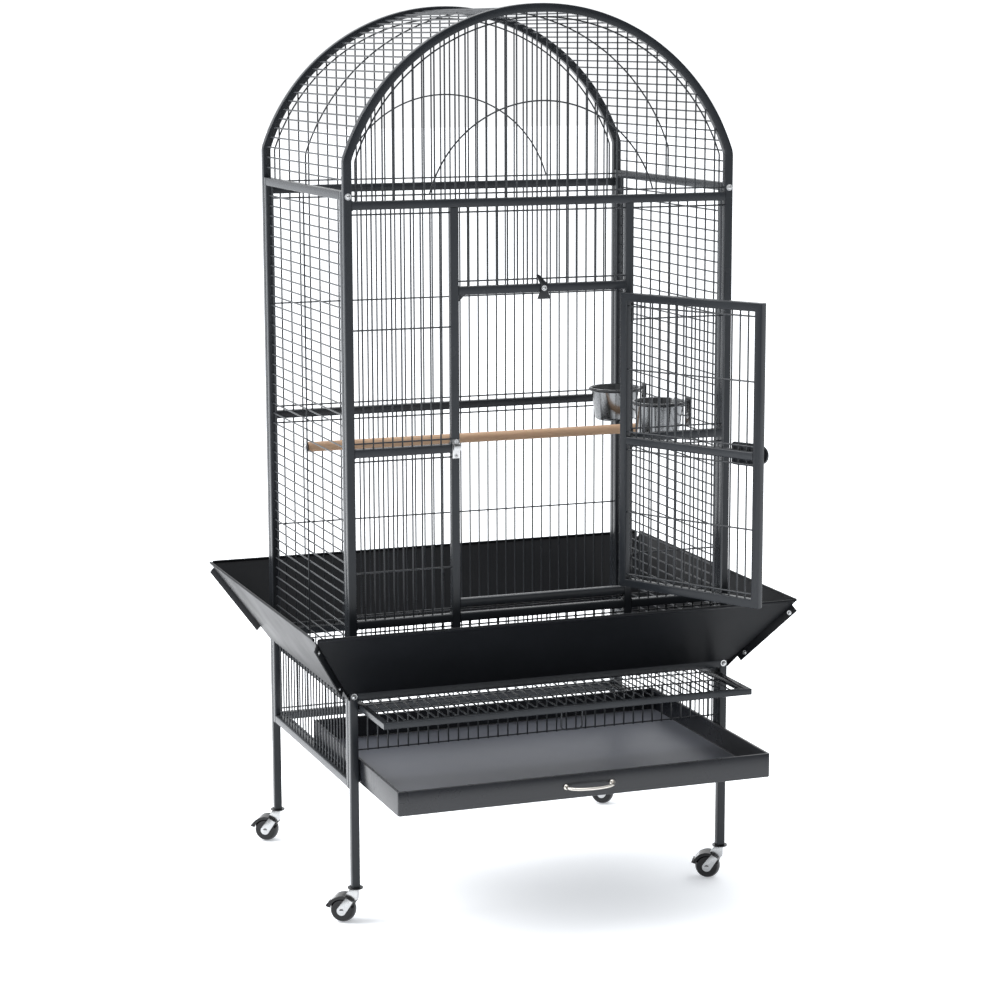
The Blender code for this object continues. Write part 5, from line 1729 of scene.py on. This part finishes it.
@dataclass
class Studio:
    """Floor, lights and camera."""

    focal_px: float = 2636.24
    sensor_mm: float = 36.0
    eye: tuple[float, float, float] = (-1.7484, -4.7908, 1.6336)
    yaw: float = 0.34973
    pitch: float = -0.17329
    roll: float = -0.00323
    centre: tuple[float, float] = (491.89, 495.59)
    frame_px: float = 1000.0
    backdrop: float = 1.12
    floor_glow: float = 0.42

    def build(self) -> None:
        """Build the stage."""
        self.floor()
        self.lights()
        self.camera()

    def floor(self) -> None:
        """A wide pale floor."""
        mesh = bpy.data.meshes.new("floor")
        reach = 40.0
        mesh.from_pydata(
            [(-reach, -reach, 0), (reach, -reach, 0), (reach, reach, 0), (-reach, reach, 0)],
            [],
            [(0, 1, 2, 3)],
        )
        floor = bpy.data.objects.new("floor", mesh)
        bpy.context.scene.collection.objects.link(floor)
        material = bpy.data.materials.new("floor_paint")
        material.use_nodes = True
        shader = material.node_tree.nodes["Principled BSDF"]
        shader.inputs["Base Color"].default_value = (0.93, 0.94, 0.955, 1)
        shader.inputs["Roughness"].default_value = 0.85
        shader.inputs["Specular IOR Level"].default_value = 0.1
        shader.inputs["Emission Color"].default_value = (0.93, 0.96, 1.0, 1)
        shader.inputs["Emission Strength"].default_value = self.floor_glow
        mesh.materials.append(material)

    def lights(self) -> None:
        """A bright surround, a large key from the left and a light from above."""
        world = bpy.data.worlds.new("studio")
        world.use_nodes = True
        nodes = Nodes(world.node_tree)
        background = world.node_tree.nodes["Background"]
        background.inputs["Color"].default_value = (0.97, 0.985, 1.0, 1)
        way = nodes.add("ShaderNodeSeparateXYZ", {0: nodes.add("ShaderNodeTexCoord").outputs["Generated"]})
        behind = self.rise(nodes, way.outputs["Y"], (-0.35, 0.5), (0.22, 1.05))
        above = self.rise(nodes, way.outputs["Z"], (0.35, 0.95), (0.0, 0.9))
        total = nodes.add("ShaderNodeMath", {0: behind, 1: above}, operation="ADD")
        seen = nodes.add("ShaderNodeLightPath").outputs["Is Camera Ray"]
        strength = nodes.add("ShaderNodeMix", {0: seen, 2: total.outputs[0], 3: self.backdrop})
        world.node_tree.links.new(strength.outputs[0], background.inputs["Strength"])
        bpy.context.scene.world = world
        self.area("key", (-4.2, 1.2, 3.6), (0, 0, 0.9), 3.0, 260.0)
        self.area("top", (-0.3, 0.2, 5.2), (0, 0, 0.0), 4.0, 130.0)

    def rise(
        self, nodes: Nodes, value: bpy.types.NodeSocket, span: tuple[float, float], levels: tuple[
            float, float
        ]
    ) -> bpy.types.NodeSocket:
        """A smooth rise from one level to another over a span of a value."""
        smooth = nodes.add(
            "ShaderNodeMapRange",
            {
                "Value": value,
                "From Min": span[0],
                "From Max": span[1],
                "To Min": levels[0],
                "To Max": levels[1],
            },
            interpolation_type="SMOOTHSTEP",
        )
        return smooth.outputs[0]

    def area(
        self, name: str, place: Sequence[float], target: Sequence[float], size: float, power: float
    ) -> None:
        """Add a square area light that faces a target."""
        light = bpy.data.lights.new(name, "AREA")
        light.size = size
        light.energy = power
        obj = bpy.data.objects.new(name, light)
        obj.location = place
        obj.rotation_euler = (Vector(target) - Vector(place)).to_track_quat("-Z", "Y").to_euler()
        bpy.context.scene.collection.objects.link(obj)

    def camera(self) -> None:
        """The camera, level with the cage's dome and turned to its left."""
        data = bpy.data.cameras.new("camera")
        data.sensor_width = self.sensor_mm
        data.lens = self.focal_px / self.frame_px * self.sensor_mm
        data.shift_x = (self.frame_px / 2 - self.centre[0]) / self.frame_px
        data.shift_y = (self.centre[1] - self.frame_px / 2) / self.frame_px
        data.clip_end = 200
        obj = bpy.data.objects.new("camera", data)
        turn = Matrix.Rotation(-self.yaw, 4, "Z") @ Matrix.Rotation(math.pi / 2 + self.pitch, 4, "X")
        obj.matrix_world = HOME @ Matrix.Translation(self.eye) @ turn @ Matrix.Rotation(self.roll, 4, "Z")
        bpy.context.scene.collection.objects.link(obj)
        bpy.context.scene.camera = obj


def main() -> None:
    """Build the whole cage and its stage."""
    logging.basicConfig(level=logging.INFO, format="%(name)s: %(message)s")
    Studio().build()
    bpy.context.scene.view_settings.view_transform = "Standard"
    portals = Portals()
    portals.build_front()
    portals.build_rear()
    portals.build_arch("front", -1)
    portals.build_arch("rear", 1)
    portals.build_roof()
    walls = SideWalls()
    walls.build("left", -1)
    walls.build("right", 1)
    Door().build()
    DoorwayFittings().build()
    Skirt().build()
    pull_outs = PullOuts()
    pull_outs.build_grille()
    pull_outs.build_tray()
    Casters().build()
    furnishings = Furnishings()
    furnishings.perch()
    furnishings.cup("front", Body.FRONT_CUP)
    furnishings.cup("rear", Body.REAR_CUP)
    FrameBolts().build()


if __name__ == "__main__":
    main()
